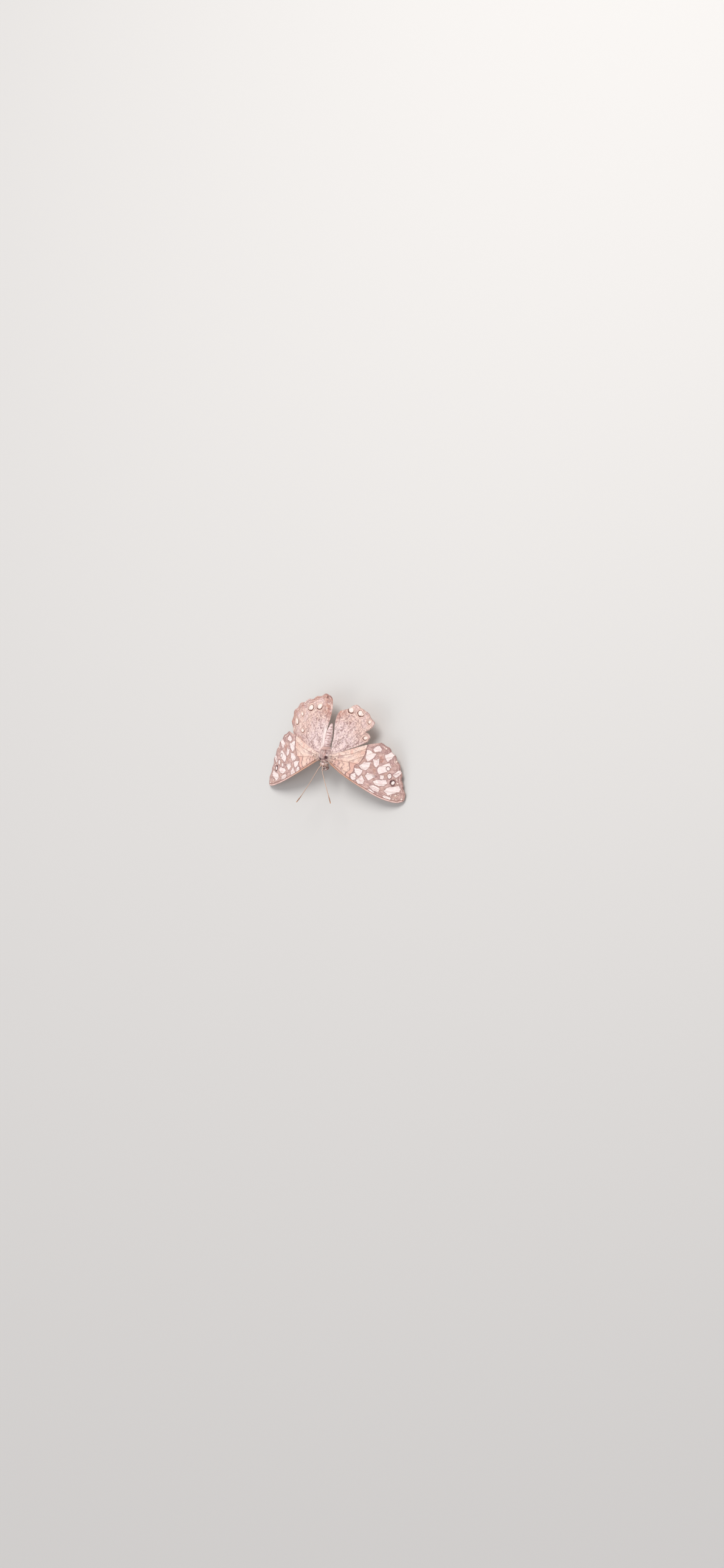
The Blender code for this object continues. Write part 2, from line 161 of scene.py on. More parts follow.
def mirrored(knots, side):
    return [(side * x, y, z, radius) for x, y, z, radius in knots]


# Colours


def tone(red, green, blue):
    # a colour as seen on screen, 0 to 255, in the linear values that a mesh holds
    seen = np.array([red, green, blue]) / 255
    return np.where(seen <= 0.04045, seen / 12.92, ((seen + 0.055) / 1.055) ** 2.4)


shades = {
    "peach": tone(240, 206, 188),
    "cream": tone(248, 226, 212),
    "rose": tone(228, 178, 162),
    "white": tone(247, 231, 225),
    "blush": tone(230, 196, 186),
    "lilac": tone(236, 212, 208),
    "mauve": tone(200, 164, 157),
    "dusk": tone(176, 138, 132),
    "plum": tone(140, 100, 98),
    "brown": tone(158, 116, 102),
    "tan": tone(208, 172, 156),
    "sand": tone(206, 160, 134),
    "umber": tone(146, 98, 82),
    "rust": tone(190, 132, 112),
    "dark": tone(86, 58, 56),
}


def painted(base, *marks):
    # the base with each mark's colour laid over it in turn, in full where the mark's share is 1
    paint = shades[base] if isinstance(base, str) else base
    for share, colour in marks:
        share = np.clip(share, 0, 1)[:, None]
        paint = paint * (1 - share) + (shades[colour] if isinstance(colour, str) else colour) * share
    return paint


# Meshes


def place(points):
    return (np.asarray(points, float) + (0, slide, 0)) * 0.001


def meshPiece(name, points, faces, look, colours, flatUv=None, soft=True):
    # one mesh object from triangles, with its paint per point and its bake layout per corner
    mesh = bpy.data.meshes.new(name)
    points, faces = place(points).astype(np.float32), np.asarray(faces, np.int32)
    mesh.vertices.add(len(points))
    mesh.vertices.foreach_set("co", points.ravel())
    mesh.loops.add(faces.size)
    mesh.loops.foreach_set("vertex_index", faces.ravel())
    mesh.polygons.add(len(faces))
    mesh.polygons.foreach_set("loop_start", np.arange(0, faces.size, 3, dtype=np.int32))
    mesh.polygons.foreach_set("use_smooth", np.full(len(faces), soft))
    paint = mesh.color_attributes.new("paint", "FLOAT_COLOR", "POINT")
    paint.data.foreach_set("color", np.c_[colours, np.ones(len(colours))].astype(np.float32).ravel())
    if flatUv is not None:
        layout = mesh.uv_layers.new(name="OFBake")
        layout.data.foreach_set("uv", flatUv[faces.ravel()].astype(np.float32).ravel())
    mesh.update()
    mesh.validate()
    mesh.materials.append(materials[look])
    piece = bpy.data.objects.new(name, mesh)
    bpy.context.scene.collection.objects.link(piece)
    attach(piece, "root")
    return piece


def coatPiece(name, coat, look, colours, flat, side=1, soft=True):
    # a mesh of many scales or tufts, mirrored for side -1; each is a small patch of the bake layout
    points, faces, each = coat
    turns = np.linspace(0, fullTurn, each, endpoint=False)
    patch = 0.0015 * np.stack([np.cos(turns), np.sin(turns)], 1)
    flatUv = (flat[:, None, :] + patch[None]).reshape(-1, 2)
    paint = np.repeat(colours, each, 0)
    return meshPiece(name, points * (side, 1, 1), faces[:, ::side], look, paint, flatUv, soft)


def flatPlan(x, y):
    # a wing's plan in the square of its bake layout
    return np.stack([x / 40, (y + 14) / 44], 1)


def flatBody(y, turn):
    return np.stack([(turn / fullTurn) % 1 * 0.96 + 0.02, (y + 3) / 20], 1)


def flatRound(share, turn):
    return np.stack([0.05 + 0.9 * share, 0.05 + 0.9 * turn / fullTurn], 1)


def unit(vectors):
    return vectors / np.maximum(1e-9, np.linalg.norm(vectors, axis=-1, keepdims=True))


def shingles(roots, ahead, up, lengths, widths, lift):
    # flat scales with a round tip, each one closed: points, triangles and the points of each
    ahead = unit(ahead - up * (ahead * up).sum(1, keepdims=True))
    across = np.cross(up, ahead)
    back, wide, reach = -0.5 * lengths[:, None], widths[:, None], lengths[:, None]
    corners = [
        roots + ahead * back - across * wide * 0.32 - up * 0.02,
        roots + ahead * back + across * wide * 0.32 - up * 0.02,
        roots + ahead * reach * 0.3 + across * wide * 0.5 + up * lift[:, None] * 0.8,
        roots + ahead * reach * 0.3 - across * wide * 0.5 + up * lift[:, None] * 0.8,
        roots + ahead * reach * 0.5 + up * lift[:, None],
        roots + ahead * reach * 0.25 - up * 0.02,
    ]
    one = np.array([(0, 2, 1), (0, 3, 2), (3, 4, 2), (1, 2, 5), (2, 4, 5), (4, 3, 5), (3, 0, 5), (0, 1, 5)])
    faces = (one[None] + 6 * np.arange(len(roots))[:, None, None]).reshape(-1, 3)
    return np.stack(corners, 1).reshape(-1, 3), faces, 6


def hairs(roots, ahead, up, lengths, widths, bend):
    # tapered tufts that rise and bend over, each one closed
    ahead = unit(ahead)
    across = unit(np.cross(up, ahead))
    side = unit(np.cross(ahead, across))
    length, wide = lengths[:, None], widths[:, None]
    rings = []
    for share, size in ((0.0, 1.0), (0.55, 0.75)):
        centre = roots + ahead * length * share - up * bend * length * share * share
        for turn in (0, 2.094, 4.189):
            rings.append(centre + wide * 0.5 * size * (across * math.cos(turn) + side * math.sin(turn)))
    tip = roots + ahead * length - up * bend * length
    one = [(0, 2, 1), (3, 4, 6), (4, 5, 6), (5, 3, 6)]
    for a, b in ((0, 1), (1, 2), (2, 0)):
        one += [(a, b, b + 3), (a, b + 3, a + 3)]
    faces = (np.array(one)[None] + 7 * np.arange(len(roots))[:, None, None]).reshape(-1, 3)
    return np.stack([*rings, tip], 1).reshape(-1, 3), faces, 7


def tube(knots, steps, sides, bumps=None):
    # a closed tube of changing radius along a path; bumps changes the radius by share of length
    line = divide(smoothLine(knots, 8), steps)
    centres, radii = line[:, :3], line[:, 3]
    shares = np.linspace(0, 1, len(line))
    if bumps is not None:
        radii = radii * bumps(shares)
    across = np.array([1.0, 0.0, 0.0])
    turns = fullTurn * np.arange(sides) / sides
    points = []
    for number, centre in enumerate(centres):
        ahead = unit(centres[min(number + 1, len(line) - 1)] - centres[max(number - 1, 0)])
        across = unit(across - across.dot(ahead) * ahead)
        up = np.cross(ahead, across)
        ring = np.cos(turns)[:, None] * across + np.sin(turns)[:, None] * up
        points.append(centre + radii[number] * ring)
    points = np.vstack([*points, centres[:1], centres[-1:]])
    return points, ringFaces(len(line), sides), np.r_[np.repeat(shares, sides), 0, 1]


def ringFaces(rings, sides):
    faces = []
    first, last = rings * sides, rings * sides + 1
    for side in range(sides):
        after = (side + 1) % sides
        faces.append((first, after, side))
        faces.append((last, (rings - 1) * sides + side, (rings - 1) * sides + after))
    for low in range(0, (rings - 1) * sides, sides):
        high = low + sides
        for side in range(sides):
            after = (side + 1) % sides
            faces += [(low + side, low + after, high + after), (low + side, high + after, high + side)]
    return np.array(faces)


def roundPath(line, pick, turn, span, lead, reach):
    # roots of tufts round a path, their direction along it and their direction out of it
    ahead = unit(line[pick + span[1], :3] - line[pick - span[0], :3])
    across = unit(np.cross(ahead, lead))
    up = np.cos(turn)[:, None] * across + np.sin(turn)[:, None] * np.cross(ahead, across)
    return line[pick, :3] + up * line[pick, 3:] * reach, ahead, up


# Materials


def addNode(nodes, kind, **values):
    # a new node with these inputs set; a low line in a name stands for a space
    node = nodes.new("ShaderNode" + kind)
    for name, value in values.items():
        node.inputs[name.replace("_", " ")].default_value = value
    return node


def paintedMaterial(name, look):
    # paint from the mesh, varied by noise, with grain in its roughness and bump
    made = bpy.data.materials.new(name)
    made.use_nodes = True
    nodes, links = made.node_tree.nodes, made.node_tree.links
    shader = nodes["Principled BSDF"]
    for socket, value in (("Sheen Weight", look.get("sheen", 0)), ("Sheen Roughness", 0.4),
                          ("Coat Weight", look.get("coat", 0)), ("Coat Roughness", 0.15),
                          ("Specular IOR Level", look.get("gloss", 0.3))):
        shader.inputs[socket].default_value = value
    low, high = look["roughness"]
    where = addNode(nodes, "TexCoord")
    paint = addNode(nodes, "Attribute")
    paint.attribute_name = "paint"
    mottle = addNode(nodes, "TexNoise", Scale=1000 / look["mottleSize"], Detail=4)
    shade = addNode(nodes, "MapRange", To_Min=1 - look["mottle"], To_Max=1 + look["mottle"])
    tint = addNode(nodes, "VectorMath")
    tint.operation = "MULTIPLY"
    grain = addNode(nodes, "TexVoronoi" if look.get("cells") else "TexNoise", Scale=1000 / look["grainSize"])
    rough = addNode(nodes, "MapRange", To_Min=low, To_Max=high)
    bump = addNode(nodes, "Bump", Strength=look["bump"], Distance=look["grainSize"] * 0.0003)
    for source, out, target, socket in (
            (where, "Object", mottle, "Vector"), (where, "Object", grain, "Vector"),
            (mottle, "Fac", shade, "Value"), (paint, "Color", tint, 0), (shade, "Result", tint, 1),
            (tint, "Vector", shader, "Base Color"), (grain, 0, rough, "Value"),
            (rough, "Result", shader, "Roughness"), (grain, 0, bump, "Height"),
            (bump, "Normal", shader, "Normal")):
        links.new(source.outputs[out], target.inputs[socket])
    return made


finishes = {
    "wing membrane": {"mottleSize": 0.5, "mottle": 0.10, "grainSize": 0.12, "roughness": (0.62, 0.85),
                      "bump": 0.5, "sheen": 0.15},
    "wing scales": {"mottleSize": 0.35, "mottle": 0.14, "grainSize": 0.05, "roughness": (0.55, 0.8),
                    "bump": 0.4, "sheen": 0.2},
    "body hair": {"mottleSize": 0.4, "mottle": 0.16, "grainSize": 0.06, "roughness": (0.6, 0.85),
                  "bump": 0.4, "sheen": 0.3},
    "eye facets": {"mottleSize": 0.6, "mottle": 0.18, "grainSize": 0.06, "roughness": (0.2, 0.4),
                   "bump": 0.6, "cells": True, "coat": 0.3, "gloss": 0.5},
    "feeler scales": {"mottleSize": 0.3, "mottle": 0.15, "grainSize": 0.05, "roughness": (0.45, 0.7),
                      "bump": 0.35},
    "leg scales": {"mottleSize": 0.3, "mottle": 0.15, "grainSize": 0.05, "roughness": (0.5, 0.75),
                   "bump": 0.4},
    "tongue": {"mottleSize": 0.3, "mottle": 0.15, "grainSize": 0.04, "roughness": (0.3, 0.5), "bump": 0.3},
}
materials = {name: paintedMaterial(name, look) for name, look in finishes.items()}
print("materials ready:", len(materials))


# Wings

forewing = {
    "front": [(2.4, 0.4), (4.2, -0.5), (8.3, -2.7), (14.0, -5.5), (19.6, -8.0), (25.0, -10.1), (29.6, -11.5),
              (33.0, -12.2), (35.0, -12.1)],
    "margin": [(35.0, -12.1), (36.1, -10.7), (35.5, -7.9), (34.3, -4.3), (33.7, -0.8), (32.4, 2.6),
               (30.3, 6.0), (27.6, 8.8), (24.6, 10.4)],
    "back": [(24.6, 10.4), (19.6, 9.1), (13.7, 6.9), (8.6, 4.9), (4.8, 3.6), (3.0, 3.2)],
    "cells": 7,
    "scallop": 0.22,
    "veins": [  # each with the number of the margin's cell that it runs to
        ([(2.9, 1.0), (7.0, -0.9), (12.0, -3.1), (17.4, -5.4), (23.4, -8.1), (29.0, -10.8)], None),
        ([(23.4, -8.1), (29.6, -10.2)], 0), ([(20.2, -6.7), (27.4, -8.4)], 1),
        ([(17.4, -5.4), (25.6, -6.0)], 2), ([(18.4, -2.7), (26.0, -2.6)], 3),
        ([(18.2, -0.5), (26.0, 1.1)], 4), ([(16.2, 0.7), (24.0, 3.6)], 5), ([(11.6, 1.2), (20.0, 5.2)], 6),
        ([(3.1, 1.7), (8.0, 1.3), (13.0, 1.1), (16.2, 0.7), (18.2, -0.5), (18.4, -2.7), (17.4, -5.4)], None),
        ([(3.2, 2.4), (9.0, 3.5), (15.0, 5.5)], 7)],
    "root": (1.3, 1.8),
    "fan": (2.0, 0.9),  # scales point away from here
}
broadForewing = {  # the left one is broader along its front edge
    **forewing,
    "front": [(2.4, 0.4), (4.4, -1.1), (9.1, -4.0), (14.9, -6.85), (20.4, -9.3), (25.6, -11.45),
              (30.4, -12.55), (33.2, -12.7), (35.0, -12.1)],
    "growth": 0.12,  # of its pale patches
}
hindwing = {
    "front": [(3.1, 3.1), (5.2, 2.9), (9.0, 3.1), (15.0, 4.8), (20.0, 7.4), (22.8, 10.2)],
    "margin": [(22.8, 10.2), (24.0, 13.4), (23.6, 17.0), (21.6, 20.3), (18.2, 22.8), (14.2, 24.4),
               (10.4, 25.7), (6.8, 27.0), (4.0, 27.0), (2.3, 25.6)],
    "back": [(2.3, 25.6), (1.5, 22.4), (1.5, 18.4), (2.1, 14.0), (2.3, 10.0), (2.1, 7.4), (2.3, 5.5)],
    "cells": 7,
    "scallop": 0.32,
    "veins": [
        ([(3.6, 3.9), (8.5, 4.5), (15.4, 6.7)], 0), ([(3.6, 4.5), (8.0, 6.2), (12.6, 8.6)], 1),
        ([(8.0, 6.2), (14.0, 11.6)], 2), ([(8.8, 8.4), (14.0, 14.8)], 3), ([(8.0, 10.4), (11.8, 16.8)], 4),
        ([(6.9, 11.0), (9.0, 17.6)], 5), ([(5.0, 9.0), (6.2, 16.6)], 6),
        ([(3.1, 5.0), (5.0, 9.0), (6.9, 11.0), (8.0, 10.4), (8.8, 8.4), (8.0, 6.2)], None),
        ([(2.9, 6.2), (3.5, 12.4), (3.2, 19.0)], 7)],
    "root": (1.2, 4.3),
    "fan": (1.5, 2.5),
    "strip": 0.85,  # how white its inner edge is
}
wornHindwing = {  # the left one is worn back along its margin
    **hindwing,
    "front": [(3.1, 3.1), (4.2, 3.5), (6.5, 4.6), (10.0, 6.2), (13.6, 7.9), (17.4, 9.9)],
    "margin": [(17.4, 9.9), (18.6, 12.0), (17.6, 13.3), (16.2, 13.9), (17.7, 14.9), (19.4, 16.4),
               (20.0, 18.2), (18.4, 19.5), (17.2, 21.2), (14.8, 22.5), (12.6, 23.2), (10.8, 24.3),
               (8.9, 23.9), (7.4, 22.5), (5.4, 21.9), (3.2, 21.2)],
    "back": [(3.2, 21.2), (1.9, 19.4), (1.5, 16.4), (1.9, 13.0), (2.2, 10.0), (2.1, 7.4), (2.3, 5.5)],
    "scallop": 0,
    "frayed": 0.22,
    "strip": 0.25,
}
membrane = {
    "thickness": 0.18,
    "veinHeight": 0.11,
    "veinWidth": 0.16,
    "sag": 0.07,  # how far the membrane lies below its veins
    "spacing": 0.27,  # between points of the mesh
    "cellSteps": 18,  # of the margin, from vein to vein
}
scaleCoat = {
    "upper": 0.165,  # from row to row of scales, on the upper side
    "lower": 0.205,
    "step": 0.8,  # along a row, as a share of that
    "length": 1.75,  # of a scale, as a share of that
    "width": 1.02,
    "lift": 0.022,
    "jitter": 0.025,
    "rows": (0.8, 37.5),  # radii of the first and the last row
    "clear": 2.2,  # no scale lies nearer the body's middle
    "inset": 0.06,  # from the wing's outline
    "fringe": 0.36,  # length of the hairs along the margin
    "fringeStep": 0.075,
}


def forewingHeight(x, y):
    out = np.maximum(0, x - stance["wingRoot"])
    return stance["bodyHeight"] + stance["wingRise"] - stance["rootSlope"] * out - stance["droop"] * out * out


def hindwingHeight(x, y):
    out = np.maximum(0, x - stance["wingRoot"])
    share = 1 - 0.65 * np.clip((y - 8) / 14, 0, 1)
    fall = stance["hindwingStep"] + stance["rearSlope"] * np.maximum(0, y - 3)
    drop = stance["rootSlope"] * out + stance["droop"] * out * out
    return stance["bodyHeight"] + stance["wingRise"] - fall - share * drop


def planOf(wing, veinEnds=None):
    # the wing's outline, its free edge, and its veins as lines on the plan
    steps = membrane["cellSteps"]
    line = spread(smoothLine(wing["margin"], 6), 0.6)
    along = unit(np.gradient(line, axis=0))
    share = np.linspace(0, 1, len(line))
    fade = np.minimum(1, np.minimum(12 * share, 12 * (1 - share)))
    wave = wing["scallop"] * fade * np.cos(fullTurn * wing["cells"] * share)
    line = line + wave[:, None] * np.stack([along[:, 1], -along[:, 0]], 1)
    edge = divide(line, wing["cells"] * steps)
    if wing.get("frayed"):
        torn = cloud(edge[:, 0], edge[:, 1], 0.5, 5) + 0.6 * cloud(edge[:, 0], edge[:, 1], 0.24, 6) - 0.8
        edge = edge + 0.7 * wing["frayed"] * torn[:, None]
    front, back = spread(smoothLine(wing["front"], 5), 0.3), spread(smoothLine(wing["back"], 5), 0.3)
    root = spread(np.array([wing["back"][-1], wing["root"], wing["front"][0]]), 0.4)
    wing["outline"] = np.vstack([front[:-1], edge[:-1], back[:-1], root[:-1]])
    wing["edge"] = edge
    wing["free"] = np.vstack([front[:-1], edge[:-1], back])
    wing["veinEnds"] = edge[::steps] if veinEnds is None else veinEnds
    wing["veinLines"] = []
    for places, end in wing["veins"]:
        knots = [*places, *([tuple(wing["veinEnds"][end])] if end is not None else [])]
        wing["veinLines"].append(spread(smoothLine(knots, 4), 0.7))


planOf(forewing)
planOf(broadForewing)
planOf(hindwing)
planOf(wornHindwing, hindwing["veinEnds"])


def veinDistance(wing, x, y):
    return np.minimum.reduce([lineDistance(x, y, line) for line in wing["veinLines"]])


def faceOf(wing, x, y, top):
    # height of the wing's upper or lower face, with raised veins and a slight ripple
    off = veinDistance(wing, x, y)
    ridge = membrane["veinHeight"] * np.exp(-(off / membrane["veinWidth"]) ** 2)
    sag = membrane["sag"] * (1 - np.exp(-(off / 0.9) ** 2))
    ripple = 0.05 * (cloud(x, y, 1.7, 31) - 0.5) + 0.02 * (cloud(x, y, 0.5, 32) - 0.5)
    middle, half = wing["height"](x, y) - (sag - ripple), membrane["thickness"] / 2
    return middle + half + ridge if top else middle - half - 0.6 * ridge


# Marks of the forewing. Pale patches between its veins, by their corners
forewingPatches = {
    "rear": [(21.7, 7.6), (22.9, 8.9), (23.9, 9.1), (24.9, 7.9), (24.7, 6.8), (22.3, 6.7)],
    "tornus": [(19.0, 6.9), (20.9, 6.8), (21.5, 6.0), (23.0, 5.7), (22.2, 4.5), (21.3, 3.4), (19.9, 2.5),
               (19.1, 3.6)],
    "marginal": [(26.4, 5.7), (28.2, 6.5), (28.9, 7.2), (30.2, 6.1), (29.2, 4.6), (27.8, 3.2)],
    "spindle": [(22.0, 3.4), (23.4, 3.3), (24.5, 4.0), (24.6, 2.0), (23.6, 0.4), (22.7, 1.3)],
    "leaf": [(16.6, 0.3), (18.4, 1.7), (21.2, 2.3), (20.7, 0.4), (19.7, -1.1), (17.8, -0.9)],
    "boot": [(24.1, -0.6), (24.4, 0.5), (26.4, 1.6), (28.6, 2.8), (29.5, 1.2), (27.8, -0.9), (25.0, -2.1)],
    "cellEnd": [(14.8, -0.9), (16.6, -1.0), (18.2, -1.3), (17.9, -2.8), (16.9, -3.7), (15.3, -3.1)],
    "cellTop": [(13.3, -4.4), (13.9, -3.4), (15.2, -3.0), (15.8, -4.1), (15.7, -5.4), (14.4, -5.6)],
    "wedge": [(16.0, -5.5), (17.2, -4.8), (18.0, -3.5), (19.6, -5.6), (18.8, -6.9), (17.0, -6.9)],
    "kite": [(19.8, -3.6), (20.4, -2.2), (21.8, -2.4), (23.9, -3.1), (22.3, -4.3), (21.0, -5.1)],
    "chip": [(25.7, -2.5), (27.1, -2.3), (26.8, -4.1), (25.7, -3.9)],
    "lunule": [(30.8, -1.7), (32.0, -0.3), (33.3, 0.6), (33.6, -0.2), (33.2, -1.4), (31.8, -2.7)],
    "bar": [(23.2, -5.2), (24.5, -4.6), (28.1, -4.3), (28.6, -5.4), (27.6, -6.4), (25.6, -6.9), (24.2, -6.4)],
    "step": [(21.9, -7.5), (23.4, -6.8), (24.9, -7.3), (26.1, -8.0), (25.6, -9.3), (23.3, -8.8)],
    "costalDash": [(21.2, -8.9), (22.6, -8.8), (23.9, -9.7), (23.6, -10.2)],
    "slab": [(28.0, -8.5), (28.9, -7.2), (33.2, -5.9), (33.9, -6.9), (33.6, -8.1), (29.6, -10.0)],
    "costalPatch": [(27.5, -10.6), (28.3, -10.3), (30.7, -11.0), (30.6, -11.9), (28.8, -11.6)],
}
# Round marks: centre, half length, half width, tilt in degrees, ring width
forewingEyes = {
    "ringed": (28.4, 0.45, 0.95, 0.85, 0, 0.17),
    "oval": (29.4, -2.4, 1.25, 1.0, 80, 0.2),
}
eyespot, eyespotPupil = (30.8, -4.9, 1.35, 1.25, 70, 0), (31.0, -5.0, 0.8, 0.6, 70, 0)
# Small round marks: centre and size
forewingDots = [(30.6, -10.1, 0.35), (32.5, -9.7, 0.45), (33.4, -9.2, 0.28), (31.7, -11.3, 0.38),
                (32.9, -11.4, 0.25), (34.9, -10.9, 0.4), (34.2, -3.1, 0.4), (32.2, -3.6, 0.3),
                (32.8, -4.9, 0.35), (34.9, -6.0, 0.28), (31.2, 3.7, 0.4), (26.9, 8.3, 0.35),
                (29.6, 7.4, 0.25), (33.4, 2.2, 0.3)]
basalSpots = [(4.6, 0.6, 0.3), (5.6, 1.9, 0.32), (6.1, -0.4, 0.26), (7.2, 2.5, 0.25), (9.4, -1.6, 0.3),
              (8.0, 0.2, 0.22), (4.0, 2.3, 0.25)]
rustyClouds = [(25.4, 3.8, 1.0, 1.7), (23.2, -0.3, 0.8, 1.5), (20.9, 0.9, 0.5, 1.2)]  # centre and two radii
# Wavy lines across the forewing: places from front to rear, and how far out each one lies there
middleLine = ([-6.5, -4.6, -3.6, -3.0, -2.4, -1.0, 0.1, 1.5, 4.2, 6.3, 9.0],
              [12.6, 13.0, 13.1, 13.9, 14.5, 14.7, 14.8, 16.6, 18.4, 18.7, 19.2])
innerLine = ([-6.5, -3.5, -2.7, -1.9, -1.2, -0.4, 0.9], [10.6, 11.3, 11.8, 12.7, 12.8, 12.4, 12.2])


def paintForewing(wing, x, y):
    wx, wy = wobbled(x, y, 0.3, 1.1, 1)
    veins = veinDistance(wing, x, y)
    rim = lineDistance(x, y, wing["edge"])
    costa = lineDistance(x, y, smoothLine(wing["front"], 4))
    out, angle = np.hypot(x - 2, y - 1.5), np.arctan2(y - 1.5, x - 2)
    middle, inner = np.interp(wy, *middleLine), np.interp(wy, *innerLine)
    outward = smooth(-0.12, 0.12, wx - middle)
    inCell = smooth(1.3, 1.0, y) * (y > -7)
    ground = painted(
        "mauve",
        (0.7 * blots(x, y, 1.3, 9, 0.4, 0.65), "tan"),
        (smooth(27, 33, x) * smooth(-3, -8, y) * 0.6, "tan"),
        (0.45 * blots(x, y, 0.8, 10, 0.52, 0.7), "dusk"),
        (0.6 * blots(x, y, 0.7, 11, 0.42, 0.65), "blush"))
    marks = [
        # basal third: peach, lighter behind, with mauve streaks that run out from the root
        (0.7 * smooth(0.5, 3.5, y) * blots(x, y, 3, 7, 0.2, 0.6), "cream"),
        (0.55 * blots(x, y, 1.4, 8, 0.5, 0.75), "rose"),
        (0.65 * blots(angle * 9, out * 0.35, 0.55, 17, 0.52, 0.72) * smooth(14, 5, out), "mauve"),
        (0.5 * blots(x, y, 0.6, 18, 0.55, 0.8), "mauve"),
        (outward, ground),
        (0.7 * inCell * smooth(0.1, 0.4, wx - inner) * smooth(0.1, 0.5, middle - wx), "rose"),
        (0.85 * inCell * stroke(wx - inner, 0.19, 0.12), "plum"),
        (0.85 * stroke(wx - middle, 0.22, 0.12), "plum")]
    reach = smooth(1.6, 1.2, y) * (costa > 0.5)
    for number, bar in enumerate((5.6, 7.4, 9.3)):  # wavy bars across the cell near the root
        bent = bar + 0.5 * np.sin(wy * 1.7 + number) + 0.4 * (cloud(x, y, 0.8, 40 + number) - 0.5)
        marks.append((0.7 * reach * stroke(wx - bent, 0.13, 0.1), "plum"))
    marks += [(0.85 * stroke(np.hypot(wx - cx, wy - cy), size, 0.14), "plum") for cx, cy, size in basalSpots]
    rear = smooth(1.2, 1.8, y) * (1 - outward)
    marks += [
        (0.55 * rear * stroke(cloud(x * 0.8, y * 1.5, 1.1, 50) - 0.5, 0.03, 0.03), "dusk"),
        # the margin darkens, with faint contour lines and small spots
        (0.4 * smooth(2.6, 1.4, rim), "dusk")]
    lines = rim + 0.5 * (cloud(x, y, 1.2, 14) - 0.5)
    marks += [(strength * outward * stroke(lines - depth, 0.1, 0.1), "plum")
              for depth, strength in ((0.4, 0.6), (1.3, 0.45), (2.3, 0.3))]
    steps = wing["edge"][::3]
    along = np.stack([np.hypot(x - px, y - py) for px, py in steps]).argmin(0) / (len(steps) - 1)
    lunules = np.cos(fullTurn * wing["cells"] * along)  # one in each cell of the margin
    marks.append((0.6 * stroke(lines - 0.85, 0.16, 0.1) * smooth(-0.2, -0.8, lunules), "cream"))
    for cx, cy, size in forewingDots:
        away = np.hypot(wx - cx, wy - cy)
        marks += [(0.6 * stroke(away, size + 0.17, 0.1), "plum"),
                  (0.9 * stroke(away, size - 0.03, 0.1), "cream")]
    for cx, cy, width, tall in rustyClouds:
        away = np.hypot((wx - cx) / width, (wy - cy) / tall)
        marks.append((0.6 * smooth(1.1, 0.6, away) * blots(x, y, 0.6, 16, 0.3, 0.6), "rust"))
    # pale patches with soft dark outlines, faintly gray along their middles
    depths = [depthIn(wx, wy, corners) + wing.get("growth", 0) for corners in forewingPatches.values()]
    between = np.maximum.reduce(depths) + 0.68 + 0.3 * (cloud(x, y, 0.9, 12) - 0.5)
    marks.append((0.35 * outward * stroke(between, 0.1, 0.1), "plum"))
    for number, depth in enumerate(depths):
        streaks = 0.75 * blots(x, y * 2.6, 0.9, 60 + number, 0.5, 0.7) * smooth(0.15, 0.6, depth)
        marks += [(0.5 * stroke(depth + 0.12, 0.2, 0.16), "plum"),
                  (smooth(-0.12, 0.28, depth), painted("white", (streaks, "lilac")))]
    for start, end, width, strength in (((22.7, -3.3), (24.3, -3.0), 0.14, 0.8),
                                        ((31.3, -1.6), (32.7, -0.6), 0.13, 0.7)):
        marks.append((strength * stroke(lineDistance(wx, wy, [start, end]), width, 0.1), "plum"))
    for mark in forewingEyes.values():
        depth = rounded(wx, wy, mark)
        marks += [(smooth(-0.12, 0.04, depth), "plum"),
                  (smooth(mark[5] - 0.05, mark[5] + 0.1, depth), "white")]
    depth = rounded(wx, wy, eyespot)
    strip = painted("sand", (smooth(12, 24, x), "blush"),
                    (0.5 * blots(x * 0.5, y, 0.6, 19, 0.5, 0.7), "mauve"))
    return painted(
        "peach", *marks,
        (smooth(-0.12, 0.05, depth), "plum"),
        (0.75 * smooth(0.08, 0.25, depth), "dark"),
        (smooth(-0.05, 0.1, rounded(wx, wy, eyespotPupil)), "white"),
        # veins, then the front edge: a tan stripe with a dark one inside it, and a brown line along the very
        # edge that is painted shadow
        (0.4 * stroke(veins, 0.1) * outward, "tan"),
        (0.45 * stroke(veins, 0.13, 0.1) * (1 - outward), "brown"),
        (smooth(0.66, 0.54, costa), strip),
        (0.9 * stroke(costa - 0.72, 0.13, 0.09), "umber"),
        (0.7 * stroke(costa, 0.12, 0.08), "brown"),
        (0.6 * stroke(rim, 0.13), "brown"))


hindwingEyes = {  # ringed spots: centre, half length, half width, tilt, and how strong the ring is
    "inner": (8.2, 21.8, 1.6, 1.15, -20, 1.0),
    "large": (13.1, 21.1, 1.8, 1.3, -20, 1.0),
    "third": (17.6, 18.0, 1.05, 0.9, 40, 0.35),
    "outer": (20.7, 15.0, 1.5, 1.05, 75, 0.6),
    "front": (22.4, 11.8, 0.7, 0.5, 80, 0.3),
    "disc": (16.6, 11.4, 1.15, 1.0, 20, 0.6),
}


